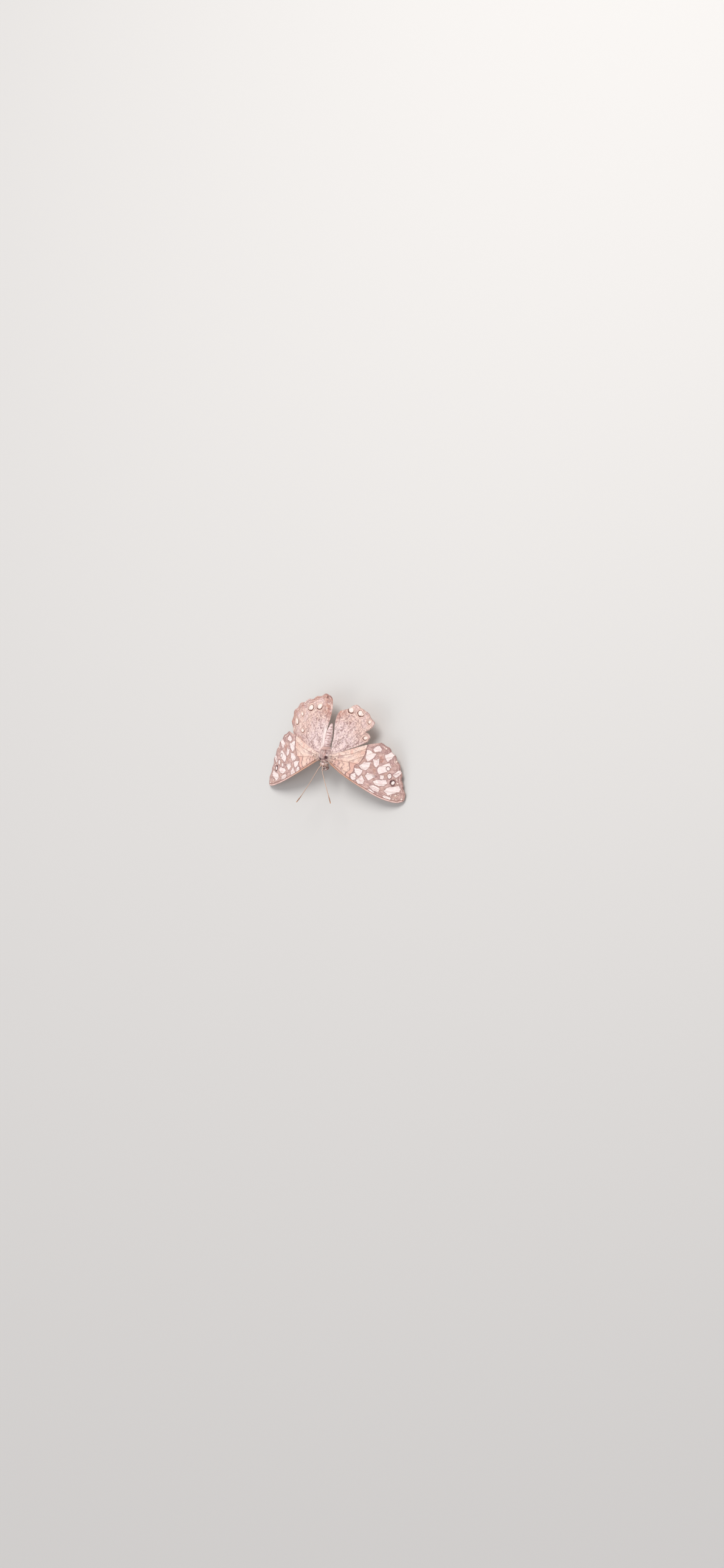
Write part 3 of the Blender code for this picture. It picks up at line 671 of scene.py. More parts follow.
def paintHindwing(wing, x, y):
    wx, wy = wobbled(x, y, 0.4, 1.2, 21)
    veins = veinDistance(wing, x, y)
    rim, whole = lineDistance(x, y, wing["edge"]), lineDistance(x, y, hindwing["edge"])
    out, angle = np.hypot(x - 2, y - 4), np.arctan2(y - 4, x - 2)
    marks = [
        (0.6 * smooth(10, 16, out), "blush"),
        (0.6 * smooth(9, 16, out) * blots(x, y, 2.5, 25, 0.3, 0.6), "peach"),
        (0.25 * blots(x, y, 0.8, 26, 0.5, 0.7), "mauve"),
        (0.4 * blots(x, y, 0.6, 27, 0.52, 0.72), "cream")]
    for seed, size, strength in ((70, 0.9, 0.62), (71, 0.8, 0.58), (72, 1.3, 0.5)):
        # short squiggles, densest near the root
        fade = strength * (0.45 + 0.55 * smooth(21, 12, out)) * blots(x, y, 0.7, seed + 5, 0.4, 0.56)
        marks.append((fade * stroke(cloud(wx * 1.15, wy * 0.9, size, seed) - 0.5, 0.075, 0.05), "plum"))
    for radius, strength in ((14.6, 0.5), (17.0, 0.5), (20.0, 0.35), (23.6, 0.4)):  # transverse lines
        bent = out - radius - 0.55 * np.sin(angle * 20 + radius) - 1.4 * (cloud(x, y, 1.6, 28) - 0.5)
        marks.append((strength * blots(x, y, 1.0, 34, 0.35, 0.55) * stroke(bent, 0.16, 0.1), "plum"))
    # brown towards the rear inner corner, and along the margin
    corner = smooth(8, 3.5, x) * smooth(15, 21, y)
    scallops = whole + 0.5 * (cloud(x, y, 1.1, 33) - 0.5)
    marks += [
        (0.7 * corner * blots(x, y, 1.2, 29, 0.3, 0.6), "rust"),
        (0.5 * corner * blots(x, y, 0.8, 35, 0.5, 0.7), "plum"),
        (0.5 * smooth(2.8, 1.2, whole) * blots(x, y, 1.6, 30, 0.3, 0.6), "rust")]
    marks += [(strength * stroke(scallops - depth, 0.12, 0.1), "plum")
              for depth, strength in ((0.45, 0.65), (1.25, 0.5), (2.2, 0.35))]
    for mark in hindwingEyes.values():
        cx, cy, long, wide, tilt, ring = mark
        inX, inY = np.array([2 - cx, 4 - cy]) / math.hypot(2 - cx, 4 - cy)  # towards the root
        halo = rounded(wx, wy, (cx, cy, long + 0.6, wide + 0.6, tilt, 0))
        shadow = rounded(wx - 0.1 * inX, wy - 0.1 * inY, mark)
        pupil = rounded(wx, wy, (cx - 0.24 * inX, cy - 0.24 * inY, long * 0.8, wide * 0.76, tilt, 0))
        marks += [
            (0.5 * smooth(-0.1, 0.06, halo) * smooth(0.3, 0.1, halo), "dusk"),
            (0.75 * smooth(0.12, 0.35, halo), "peach"),
            ((0.35 + 0.65 * ring) * smooth(-0.1, 0.05, rounded(wx, wy, mark)), "plum"),
            (0.85 * ring * smooth(0.05, 0.2, shadow), "umber"),
            (0.5 * ring * smooth(0.05, 0.3, shadow), "dark"),
            (smooth(-0.05, 0.12, pupil), "cream"),
            (0.8 * smooth(0.2, 0.5, pupil), "white")]
    strip = smooth(1.9, 1.2, np.abs(x - 2.6 - 0.05 * (y - 9)) * 1.6)  # along its inner edge
    strip = strip * smooth(4.5, 6, y) * smooth(15.5, 12.5, y)
    return painted(
        "lilac", *marks,
        (0.85 * stroke(np.hypot(wx - 5.0, wy - 26.1), 0.45, 0.15), "dark"),
        (wing["strip"] * strip, "white"),
        (0.35 * stroke(veins, 0.1), "dusk"),
        (0.6 * stroke(rim, 0.12), "brown"))


for wing in (forewing, broadForewing):
    wing["height"], wing["paint"] = forewingHeight, paintForewing
for wing in (hindwing, wornHindwing):
    wing["height"], wing["paint"] = hindwingHeight, paintHindwing


def wingPaint(wing, x, y, top):
    above = wing["paint"](wing, x, y)
    if top:
        return above
    # the underside is pale, with the same marks showing faintly
    pale = painted("cream", (0.4 * blots(x, y, 2, 80, 0.4, 0.7), "lilac"))
    return painted(pale, (0.28 + 0.3 * smooth(3.5, 0.5, lineDistance(x, y, wing["edge"])), above))


def wingSkin(name, wing, side, node):
    outline = wing["outline"]
    step = membrane["spacing"]
    rows = np.arange(outline[:, 1].min(), outline[:, 1].max(), step * 0.866)
    grid = np.array([(x + 0.5 * step * (i % 2), y) for i, y in enumerate(rows)
                     for x in np.arange(outline[:, 0].min(), outline[:, 0].max(), step)])
    keep = isInside(*grid.T, outline) & (lineDistance(*grid.T, outline, True) > 0.6 * step)
    points = [Vector(p) for p in [*outline, *grid[keep]]]
    edges = [(i, (i + 1) % len(outline)) for i in range(len(outline))]
    plan, _, faces, _, _, _ = delaunay_2d_cdt(points, edges, [], 0, 1e-6, True)
    plan, faces = np.array(plan), np.array(faces)
    faces = faces[isInside(*plan[faces].mean(1).T, outline)]
    x, y = plan.T
    upper = np.stack([side * x, y, faceOf(wing, x, y, True)], 1)
    lower = np.stack([side * x, y, faceOf(wing, x, y, False)], 1)
    used = {(a, b) for face in faces.tolist() for a, b in zip(face, face[1:] + face[:1])}
    total = len(plan)
    skin = [*faces.tolist(), *(total + faces[:, ::-1]).tolist()]
    for a, b in used:
        if (b, a) not in used:
            skin += [(b, a, total + a), (b, total + a, total + b)]
    colours = np.vstack([wingPaint(wing, x, y, True), wingPaint(wing, x, y, False)])
    piece = meshPiece(name, np.vstack([upper, lower]), np.array(skin)[:, ::side], "wing membrane", colours)
    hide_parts(node)


def wingScales(name, wing, side, top, seed):
    # rows of scales round the wing's root, each overlapping the next row outwards
    rng = np.random.default_rng(seed)
    fanX, fanY = wing["fan"]
    row = scaleCoat["upper" if top else "lower"]
    step = row * scaleCoat["step"]
    found = []
    for number, radius in enumerate(np.arange(*scaleCoat["rows"], row)):
        count = int(radius * math.pi / step)
        turns = -0.5 * math.pi + (np.arange(count) + 0.5 * (number % 2)) * step / radius
        found.append(np.stack([fanX + radius * np.cos(turns), fanY + radius * np.sin(turns)], 1))
    plan = np.vstack(found)
    plan = plan + rng.normal(0, scaleCoat["jitter"], plan.shape)
    outline = wing["outline"]
    plan = plan[isInside(*plan.T, outline) & (plan[:, 0] > scaleCoat["clear"])]
    x, y = plan[lineDistance(*plan.T, outline, True) > scaleCoat["inset"]].T
    z = faceOf(wing, x, y, top)
    slopeX = (faceOf(wing, x + 0.05, y, top) - z) / 0.05
    slopeY = (faceOf(wing, x, y + 0.05, top) - z) / 0.05
    up = unit(np.stack([-slopeX, -slopeY, np.ones(len(x))], 1)) * (1 if top else -1)
    ahead = np.stack([x - fanX, y - fanY, np.zeros(len(x))], 1)
    ahead = unit(ahead) + rng.normal(0, 0.08, ahead.shape)
    colours = wingPaint(wing, x, y, top) * rng.uniform(0.9, 1.08, (len(x), 1))
    odd = rng.random(len(x))
    colours = painted(colours, (0.3 * (odd < 0.03), "plum"), (0.3 * (odd > 0.97), "white"))
    lengths = row * scaleCoat["length"] * rng.uniform(0.85, 1.15, len(x))
    widths = row * scaleCoat["width"] * rng.uniform(0.9, 1.15, len(x))
    lift = scaleCoat["lift"] * rng.uniform(0.6, 1.3, len(x))
    coat = shingles(np.stack([x, y, z], 1), ahead, up, lengths, widths, lift)
    piece = coatPiece(name, coat, "wing scales", colours, flatPlan(x, y), side, soft=False)


def wingFringe(name, wing, side, seed):
    # short hairs along the free edge, longer behind the root
    rng = np.random.default_rng(seed)
    line = spread(wing["free"], scaleCoat["fringeStep"])
    middle = (line[1:] + line[:-1]) / 2
    along = unit(np.diff(line, axis=0))
    keep = (middle[:, 0] > 3.0) | (middle[:, 1] > 6)
    (x, y), along = middle[keep].T, along[keep]
    outward = np.stack([along[:, 1], -along[:, 0]], 1)
    atBack, atFront = (lineDistance(x, y, spread(smoothLine(wing[part], 4), 1.0)) < 0.05
                       for part in ("back", "front"))
    z = (faceOf(wing, x, y, True) + faceOf(wing, x, y, False)) / 2
    lean = np.where(atFront, 1.4, 0.3)[:, None]
    ahead = np.c_[outward + lean * along * np.where(atBack, -1, 1)[:, None], np.zeros(len(x))]
    ahead = unit(ahead + rng.normal(0, 0.12, ahead.shape))
    lengths = scaleCoat["fringe"] * rng.uniform(0.7, 1.2, len(x)) * np.where(atFront, 0.5, 1.0)
    colours = painted(wingPaint(wing, *(np.stack([x, y]) - 0.3 * outward.T), True),
                      (0.45 * (rng.random(len(x)) < 0.5), "cream"))
    roots = np.stack([x, y, z], 1) - 0.08 * ahead
    coat = hairs(roots, ahead, np.tile([0.0, 0.0, 1.0], (len(x), 1)), lengths, np.full(len(x), 0.1), 0.1)
    piece = coatPiece(name, coat, "wing scales", colours, flatPlan(x, y), side)


for word, side, fore, hind in (("left", 1, broadForewing, wornHindwing), ("right", -1, forewing, hindwing)):
    for kind, wing, seed in (("forewing", fore, 100), ("hindwing", hind, 200)):
        wingSkin(f"{kind}_membrane_{word}", wing, side, f"{kind}_{word}")
        wingScales(f"{kind}_scales_upper_{word}", wing, side, True, seed + side)
        wingScales(f"{kind}_scales_lower_{word}", wing, side, False, seed + 10 + side)
        wingFringe(f"{kind}_fringe_{word}", wing, side, seed + 20 + side)
print("wings ready")


# Body

body = {
    # place along y, half width, height against the thorax's axis, half height
    "sections": [
        (-2.37, 0.05, -0.12, 0.07), (-2.27, 0.36, -0.1, 0.46), (-1.95, 0.75, -0.05, 0.85),
        (-1.3, 1.02, 0.0, 1.12), (-0.6, 0.95, 0.0, 1.06), (-0.1, 0.7, 0.0, 0.8), (0.35, 1.4, 0.05, 1.45),
        (1.4, 2.2, 0.1, 2.15), (2.6, 2.48, 0.15, 2.42), (4.1, 2.25, 0.1, 2.2), (5.3, 1.65, -0.05, 1.7),
        (6.0, 1.1, -0.15, 1.2), (7.0, 1.25, -0.35, 1.32), (9.0, 1.45, -0.5, 1.5), (11.4, 1.33, -0.75, 1.36),
        (13.4, 1.0, -1.0, 1.02), (15.0, 0.58, -1.25, 0.6), (15.7, 0.28, -1.4, 0.3)],
    "sides": 64,
    "rings": 150,
    "face": (-2.36, -2.34, -2.3),  # the first rings, which lie close together
    "neck": -0.15,
    "waist": 6.2,  # where the thorax's hair ends
    "abdomen": (6.0, 15.7),
    "segments": 8,  # of the abdomen
    "groove": 0.06,
    "lobe": 0.3,  # height of the two round lobes behind the head
    "thoraxTufts": 17000,
    "headTufts": 5500,
    "rootTufts": 3200,  # over each forewing's root
    "stripes": ((0.0, 0.11, "dark"), (0.3, 0.12, "white"), (0.62, 0.1, "plum"), (0.95, 0.13, "white"),
                (1.3, 0.12, "plum")),  # of the thorax: distance from its middle, half width and shade
    "blotches": ((-0.9, 0.95, 0.7), (1.8, 1.85, 0.6), (-1.9, 3.0, 0.3), (1.75, 3.4, 0.26),
                 (-2.1, 1.6, 0.25)),  # dark ones on the thorax: centre and size
}
bodyLine = smoothLine(body["sections"], 8)


def segmentAt(y):
    start, end = body["abdomen"]
    return (y - start) / (end - start) * body["segments"]


def bodyPoint(y, turn):
    # a place on the body's skin; turn 90 degrees is the top
    half, rise, tall = (np.interp(y, bodyLine[:, 0], bodyLine[:, i]) for i in (1, 2, 3))
    groove = (0.5 + 0.5 * np.cos(fullTurn * segmentAt(y))) ** 3 * (y > body["abdomen"][0])
    pinch = 1 - body["groove"] * groove
    x = half * pinch * np.cos(turn)
    z = tall * pinch * np.sin(turn)
    above = np.sin(turn) > 0
    shoulder = 0.28 * np.exp(-((np.abs(x) - 1.7) / 0.6) ** 2 - ((y - 1.5) / 0.8) ** 2) * above
    lobe = body["lobe"] * np.exp(-((np.abs(x) - 0.75) / 0.35) ** 2 - ((y - 0.1) / 0.38) ** 2) * above
    seam = 0.12 * np.exp(-(x / 0.12) ** 2) * (np.sin(turn) > 0.3) * smooth(0.6, 1.4, y) * smooth(5.0, 4.2, y)
    shelf = 0.16 * np.exp(-((y - 4.35) / 0.16) ** 2) * (np.sin(turn) > 0.2)
    x = x + 0.8 * lobe * np.sign(x)
    return np.stack([x, y, stance["bodyHeight"] + rise + z + shoulder + lobe - seam - shelf], -1)


def bodyCross(y, turn, step):
    # points out of the skin, and is longer where it is stretched
    along = bodyPoint(y + step, turn) - bodyPoint(y - step, turn)
    return np.cross(along, bodyPoint(y, turn + step) - bodyPoint(y, turn - step)) * -1


def paintBody(y, turn):
    x, above = bodyPoint(y, turn)[:, 0], smooth(-0.1, 0.2, np.sin(turn))
    bentX = x + 0.35 * (cloud(x, y, 0.7, 91) - 0.5)
    # thorax: pale sides and lengthwise stripes, with two dark blotches in front joined by a bar
    fade = 0.75 * blots(x * 1.5, y, 0.8, 89, 0.3, 0.5) * smooth(0.9, 1.6, y) * smooth(5.6, 4.8, y)
    side = smooth(1.45, 1.8, np.abs(bentX)) * smooth(5.8, 5.2, y)
    marks = [(0.3 + 0.5 * blots(x * 2, y, 0.9, 90, 0.4, 0.7), "blush")]
    marks += [(fade * above * stroke(np.abs(bentX) - line, width, 0.08), colour)
              for line, width, colour in body["stripes"]]
    marks += [
        (0.85 * side, "lilac"),
        (0.7 * side * blots(x, y, 0.7, 93, 0.45, 0.65), "white"),
        (0.75 * above * stroke(y - 1.0 - 0.12 * x * x, 0.2, 0.15), "plum")]
    for cx, cy, size in body["blotches"]:
        away = np.hypot(bentX - cx, y - cy)
        marks += [(above * smooth(size + 0.1, size - 0.25, away), "plum"),
                  (0.8 * above * smooth(size * 0.8, size * 0.3, away), "dark")]
    head, rear = smooth(-0.15, -0.35, y), smooth(5.6, 6.1, y)
    band = 0.5 + 0.5 * np.cos(fullTurn * (segmentAt(y) + 0.12 + 0.25 * (cloud(x, y, 0.8, 97) - 0.5)))
    spots = stroke(np.abs(np.cos(turn)) - 0.72, 0.16, 0.1) * smooth(0.3, 0.6, band)
    return painted(
        "mauve", *marks,
        (0.7 * above * stroke(y - 4.35, 0.16, 0.1), "plum"),
        (0.8 * above * smooth(4.6, 4.9, y) * smooth(5.9, 5.4, y), "blush"),
        (stroke(np.hypot(np.abs(x) - 0.95, y - 0.1), 0.45, 0.15) * above, "cream"),
        # head: pinkish, with a white band between the eyes and dark spots before and behind it
        (head, "blush"),
        (0.6 * head * blots(x, y, 0.4, 94, 0.5, 0.7), "mauve"),
        (0.9 * stroke(np.hypot(bentX + 0.1, (y + 0.42) * 1.2), 0.3, 0.12) * above, "dark"),
        (head * stroke(y + 1.0, 0.3, 0.12) * above, "white"),
        (0.8 * head * stroke(np.hypot(np.abs(x) - 0.45, y + 1.75), 0.2, 0.1), "dark"),
        (0.8 * smooth(-1.9, -2.15, y), "white"),
        # abdomen: lilac, with broken dark bands and a row of dark marks down each side
        (rear, "lilac"),
        (0.8 * rear * blots(x * 1.2, y, 0.7, 98, 0.35, 0.6) * smooth(0.6, 0.9, band) * above, "plum"),
        (0.7 * rear * spots * above, "dusk"),
        (0.5 * rear * blots(x * 2, y * 2, 0.6, 92, 0.5, 0.7), "mauve"),
        (0.6 * smooth(-0.2, -0.6, np.sin(turn)), "cream"))


def bodySkin():
    sides, rings = body["sides"], body["rings"]
    ys = np.r_[body["face"], np.linspace(-2.25, body["abdomen"][1], rings - len(body["face"]))]
    turns = fullTurn * np.arange(sides) / sides
    grid = [bodyPoint(np.full(sides, y), turns) for y in ys]
    front, rear = (0, ys[0] - 0.01, grid[0][:, 2].mean()), (0, ys[-1] + 0.1, grid[-1][:, 2].mean())
    paint = paintBody(np.r_[np.repeat(ys, sides), ys[0], ys[-1]],
                      np.r_[np.tile(turns, rings), math.pi / 2, math.pi / 2])
    piece = meshPiece("body_skin", np.vstack([*grid, front, rear]), ringFaces(rings, sides)[:, ::-1],
                      "body hair", paint)
    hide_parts("thorax", "head", "abdomen")


def rootTufts(word, side, wing):
    # soft hair that covers where a forewing leaves the thorax
    rng = np.random.default_rng(320 + side)
    count = body["rootTufts"]
    out = np.minimum(rng.exponential(0.85, count), 3.6)
    x = 1.9 + out
    y = rng.uniform(0.15, 3.3, count) + out * rng.uniform(-0.45, 0.12, count)
    keep = isInside(x, y, wing["outline"]) & (lineDistance(x, y, wing["free"]) > 0.15)
    x, y = x[keep], y[keep]
    count = len(x)
    ahead = np.stack([np.ones(count), 0.3 * (y - 1.4), -0.02 * np.ones(count)], 1)
    ahead = unit(ahead + rng.normal(0, 0.1, (count, 3)))
    colours = painted(wing["paint"](wing, x, y) * rng.uniform(1.0, 1.15, (count, 1)),
                      (0.7 * smooth(4.4, 2.6, x), "cream"), (0.6 * blots(x, y, 0.45, 88, 0.62, 0.72), "dusk"))
    coat = hairs(np.stack([x, y, faceOf(wing, x, y, True) + 0.02], 1), ahead,
                 np.tile([0.0, 0.0, 1.0], (count, 1)), rng.uniform(0.3, 0.55, count),
                 rng.uniform(0.05, 0.075, count), 0.12)
    piece = coatPiece("root_hair_" + word, coat, "body hair", colours, flatPlan(x, y), side)


def skinPlaces(rng, front, rear, count):
    # places spread evenly over the body's skin between two places along it
    y, turn = rng.uniform(front, rear, 14 * count), rng.uniform(0, fullTurn, 14 * count)
    area = np.linalg.norm(bodyCross(y, turn, 0.01), axis=1)
    keep = rng.random(len(y)) < area / np.quantile(area, 0.995)
    return y[keep][:count], turn[keep][:count]


def bodyHair(name, y, turn, ahead, lengths, widths, rng):
    point, up = bodyPoint(y, turn), unit(bodyCross(y, turn, 0.02))
    ahead = unit(ahead(point, up) + rng.normal(0, 0.17, up.shape))
    colours = paintBody(y, turn) * rng.uniform(1.02, 1.28, (len(y), 1))
    coat = hairs(point - 0.05 * up, ahead, up, lengths * rng.uniform(0.7, 1.3, len(y)),
                 widths * rng.uniform(0.8, 1.2, len(y)), 0.3)
    piece = coatPiece(name, coat, "body hair", colours, flatBody(y, turn))


def thoraxHair():
    rng = np.random.default_rng(300)
    y, turn = skinPlaces(rng, body["neck"], body["waist"], body["thoraxTufts"])
    lengths = np.where(np.sin(turn) < -0.1, 0.6, 0.44)
    bodyHair("thorax_hair", y, turn, lambda point, up: 0.28 * up + (0, 1, 0), lengths, 0.085, rng)


def headHair():
    # tufts lean back on the crown, and forward and down on the face
    rng = np.random.default_rng(302)
    y, turn = skinPlaces(rng, body["face"][0], body["neck"], body["headTufts"])
    x, _, z = bodyPoint(y, turn).T
    eyeGap = np.hypot((y - eyes["place"][1]) / 0.85, (z - stance["bodyHeight"] - eyes["place"][2]) / 0.98)
    keep = (eyeGap > 0.96) | (np.abs(x) < 0.66)
    y, turn = y[keep], turn[keep]
    lengths = np.where(y < -1.7, 0.3, np.where(np.abs(y + 1.0) < 0.35, 0.42, 0.34))

    def lean(point, up):
        face = smooth(-1.3, -1.8, point[:, 1])[:, None]
        return 0.55 * up + (1 - face) * (0, 0.7, 0.25) + face * (0, -0.35, -0.45)

    bodyHair("head_hair", y, turn, lean, lengths, 0.055, rng)


def abdomenScales():
    rng = np.random.default_rng(301)
    places = []
    for number, y in enumerate(np.arange(5.9, 15.6, 0.17)):
        half = np.interp(y, bodyLine[:, 0], bodyLine[:, 1])
        count = int(fullTurn * half / 0.15)
        turns = fullTurn * (np.arange(count) + 0.5 * (number % 2)) / count
        places.append(np.stack([np.full(count, y), turns], 1))
    y, turn = np.vstack(places).T
    y = y + rng.normal(0, 0.02, len(y))
    point, up = bodyPoint(y, turn), unit(bodyCross(y, turn, 0.02))
    ahead = (0, 1, 0) + rng.normal(0, 0.06, up.shape)
    colours = paintBody(y, turn) * rng.uniform(0.85, 1.12, (len(y), 1))
    coat = shingles(point, ahead, up, 0.3 * rng.uniform(0.85, 1.2, len(y)), np.full(len(y), 0.17),
                    0.07 * rng.uniform(0.6, 1.3, len(y)))
    piece = coatPiece("abdomen_scales", coat, "body hair", colours, flatBody(y, turn), soft=False)


eyes = {
    "place": (1.2, -1.0, 0.1),
    "radii": (0.78, 0.9, 1.03),
    "facetRise": 0.02,
    "colour": tone(176, 142, 126),
    "band": tone(220, 192, 178),
    "spot": tone(116, 82, 72),
    "rimTufts": 700,  # pale hair round the back of each eye
}


def eye(word, side):
    # a globe of small domed facets
    shape = bmesh.new()
    bmesh.ops.create_icosphere(shape, subdivisions=5, radius=1)
    facets = len(shape.verts)
    bmesh.ops.triangulate(shape, faces=shape.faces)
    bmesh.ops.subdivide_edges(shape, edges=shape.edges, cuts=1, use_grid_fill=True)
    shape.verts.ensure_lookup_table()
    globe = unit(np.array([v.co for v in shape.verts]))
    faces = np.array([[v.index for v in face.verts] for face in shape.faces])
    shape.free()
    rise = np.zeros(len(globe))
    rise[:facets] = eyes["facetRise"]
    cx, cy, cz = eyes["place"]
    points = globe * (1 + rise[:, None]) * eyes["radii"] * (side, 1, 1)
    points = points + (side * cx, cy, cz + stance["bodyHeight"])
    band = 0.5 + 0.5 * np.sin(globe[:, 2] * 9 + 2 * cloud(globe[:, 1] * 3, globe[:, 2] * 3, 1, 95))
    spots = blots(globe[:, 1] + 2 * globe[:, 0], globe[:, 2], 0.22, 87, 0.6, 0.72)
    colours = painted(eyes["colour"], (0.6 * band, eyes["band"]), (0.55 * spots, eyes["spot"]))
    piece = meshPiece("eye_facets_" + word, points, faces[:, ::side], "eye facets", colours)
    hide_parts("eye_" + word)


def eyeRim(word, side):
    # pale tufts in a band round the back of an eye
    rng = np.random.default_rng(310 + side)
    count = eyes["rimTufts"]
    back, turn = rng.uniform(0.5, 0.88, count), rng.uniform(0, fullTurn, count)
    ring = np.sqrt(1 - back ** 2)
    globe = np.stack([ring * np.cos(turn), back, ring * np.sin(turn)], 1)
    up = unit(globe / eyes["radii"])
    cx, cy, cz = eyes["place"]
    roots = globe * eyes["radii"] * 0.98 + (cx, cy, cz + stance["bodyHeight"])
    ahead = unit(np.array([0.0, 1.0, 0.0]) - up * up[:, 1:2]) + 0.35 * up + rng.normal(0, 0.12, up.shape)
    colours = painted(shades["white"] * rng.uniform(0.9, 1.08, (count, 1)),
                      (0.5 * (rng.random(count) < 0.15), "mauve"))
    coat = hairs(roots, ahead, up, rng.uniform(0.2, 0.32, count), np.full(count, 0.05), 0.2)
    piece = coatPiece("eye_rim_" + word, coat, "body hair", colours, flatRound(back, turn), side)


bodySkin()
thoraxHair()
headHair()
rootTufts("left", 1, broadForewing)
rootTufts("right", -1, forewing)
abdomenScales()
for make in (eye, eyeRim):
    make("left", 1)
    make("right", -1)
print("body ready")


# Feelers, palps and tongue

feelers = {
    "root": [(0.45, -1.25, 11.2, 0.16), (0.6, -1.9, 12.0, 0.16)],
    "left": [(1.1, -3.7, 12.5, 0.14), (3.4, -8.1, 12.7, 0.14), (6.1, -12.9, 12.8, 0.16),
             (7.2, -14.8, 12.9, 0.24), (8.0, -16.2, 13.0, 0.18)],
    "right": [(1.4, -3.5, 12.5, 0.14), (4.4, -9.0, 12.7, 0.14), (7.9, -14.6, 12.8, 0.16),
              (8.9, -16.1, 12.9, 0.24), (9.9, -17.5, 13.0, 0.18)],
    "joints": 46,
    "shaft": tone(196, 164, 144),
    "ring": tone(230, 206, 190),
    "club": tone(168, 130, 108),
    "tip": tone(205, 150, 104),
}


def feeler(word, side):
    joints = feelers["joints"]
    points, faces, share = tube(mirrored(feelers["root"] + feelers[word], side), joints * 6, 14,
                                lambda s: 0.9 + 0.1 * np.abs(np.sin(math.pi * joints * s)))
    ring = smooth(0.45, 0.1, np.abs(np.sin(math.pi * joints * share)))
    paint = painted(feelers["shaft"], (smooth(0.78, 0.86, share), feelers["club"]),
                    (0.8 * ring * smooth(0.9, 0.7, share), feelers["ring"]),
                    (smooth(0.965, 0.985, share), feelers["tip"]))
    piece = meshPiece("antenna_shaft_" + word, points, faces, "feeler scales", paint)
    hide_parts("antenna_" + word)


palps = {
    "path": [(0.65, -1.5, 9.3, 0.24), (0.78, -2.3, 9.25, 0.28), (0.72, -2.98, 9.7, 0.28),
             (0.62, -3.25, 10.4, 0.18), (0.57, -3.35, 10.95, 0.05)],
    "tufts": 1100,
    "steps": 60,  # along the path, for the tufts
}


def palp(word, side):
    knots = mirrored(palps["path"], side)
    points, faces, share = tube(knots, 30, 16)
    piece = meshPiece("palp_skin_" + word, points, faces, "body hair",
                      painted("blush", (smooth(0.45, 0.8, share), "cream")))
    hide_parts("palp_" + word)
    rng = np.random.default_rng(400 + side)
    steps, count = palps["steps"], palps["tufts"]
    pick, turn = rng.integers(1, steps - 1, count), rng.uniform(0, fullTurn, count)
    roots, ahead, up = roundPath(divide(smoothLine(knots, 8), steps), pick, turn, (1, 2), (1, 0, 0), 0.95)
    share = pick / steps
    colours = painted("blush", (smooth(0.4, 0.8, share), "white"), (0.5 * (rng.random(count) < 0.2), "dusk"))
    coat = hairs(roots, ahead + 0.4 * up, up, rng.uniform(0.2, 0.38, count), np.full(count, 0.05), 0.15)
    piece = coatPiece("palp_hair_" + word, coat, "body hair", colours, flatRound(share, turn))


tongue = {
    "centre": (-2.0, 8.1),
    "radii": (0.95, 0.18),  # of the coil, outside and inside
    "turn": 660,
    "thickness": 0.13,
    "rings": 90,
    "pale": tone(158, 120, 98),
    "dark": tone(118, 84, 68),
}


def coiledTongue():
    y0, z0 = tongue["centre"]
    outer, inner = tongue["radii"]
    thick, rings = tongue["thickness"], tongue["rings"]
    path = [(0.0, y0 + 0.1, z0 + outer + 0.45, thick)]
    for share in np.linspace(0, 1, 40):
        turn = math.radians(90 + tongue["turn"] * share)
        reach = outer + (inner - outer) * share
        y, z = y0 + reach * math.cos(turn), z0 + reach * math.sin(turn)
        path.append((0.0, y, z, thick * (1 - 0.45 * share)))
    points, faces, share = tube(path, rings * 4, 12, lambda s: 1 + 0.05 * np.cos(fullTurn * rings * s))
    dark = 0.5 + 0.5 * np.cos(fullTurn * rings * share)
    paint = painted(tongue["pale"], (0.5 * dark, tongue["dark"]))
    piece = meshPiece("tongue_coil", points, faces, "tongue", paint)
    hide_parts("proboscis")


for word, side in (("left", 1), ("right", -1)):
    feeler(word, side)
    palp(word, side)
coiledTongue()
print("head pieces ready")


# Legs

legs = {
    "mid": [(1.2, 2.2, 8.9, 0.42), (2.4, 1.6, 8.2, 0.4), (5.3, 0.9, 7.5, 0.3), (6.3, 0.6, 6.9, 0.25),
            (6.75, 0.45, 5.9, 0.23), (7.4, 0.15, 2.0, 0.18), (7.75, 0.0, 0.95, 0.18), (8.5, -0.3, 0.3, 0.16),
            (9.5, -0.65, 0.16, 0.16), (11.2, -1.3, 0.15, 0.14)],
    "hind": [(1.0, 4.2, 8.9, 0.42), (2.2, 5.2, 8.2, 0.4), (4.7, 7.2, 7.5, 0.3), (5.5, 7.95, 6.9, 0.25),
             (5.95, 8.45, 5.9, 0.23), (6.7, 9.7, 2.0, 0.18), (7.0, 10.15, 0.95, 0.18),
             (7.55, 11.05, 0.3, 0.16), (8.25, 12.15, 0.16, 0.16), (9.6, 14.2, 0.15, 0.14)],
    "fore": [(1.0, 0.8, 9.2, 0.26), (1.5, 0.5, 8.0, 0.26), (1.8, 0.1, 7.2, 0.24), (1.9, -0.45, 7.1, 0.22),
             (1.8, -0.8, 7.6, 0.18), (1.7, -0.9, 8.15, 0.06)],
    "shade": tone(228, 202, 184),
    "band": tone(158, 122, 106),
    "footJoints": 5,
    "horn": tone(80, 54, 42),
    # a claw's path: forward, outward and upward from the foot's end, then its thickness
    "claw": [(-0.05, 0.05, 0, 0.05), (0.14, 0.13, 0.1, 0.045), (0.26, 0.17, -0.08, 0.015)],
    "floor": 0.004,  # nothing lies lower
    "tufts": {"mid": 3600, "hind": 3600, "fore": 1800},
    "steps": 200,  # along a leg, for the tufts
}


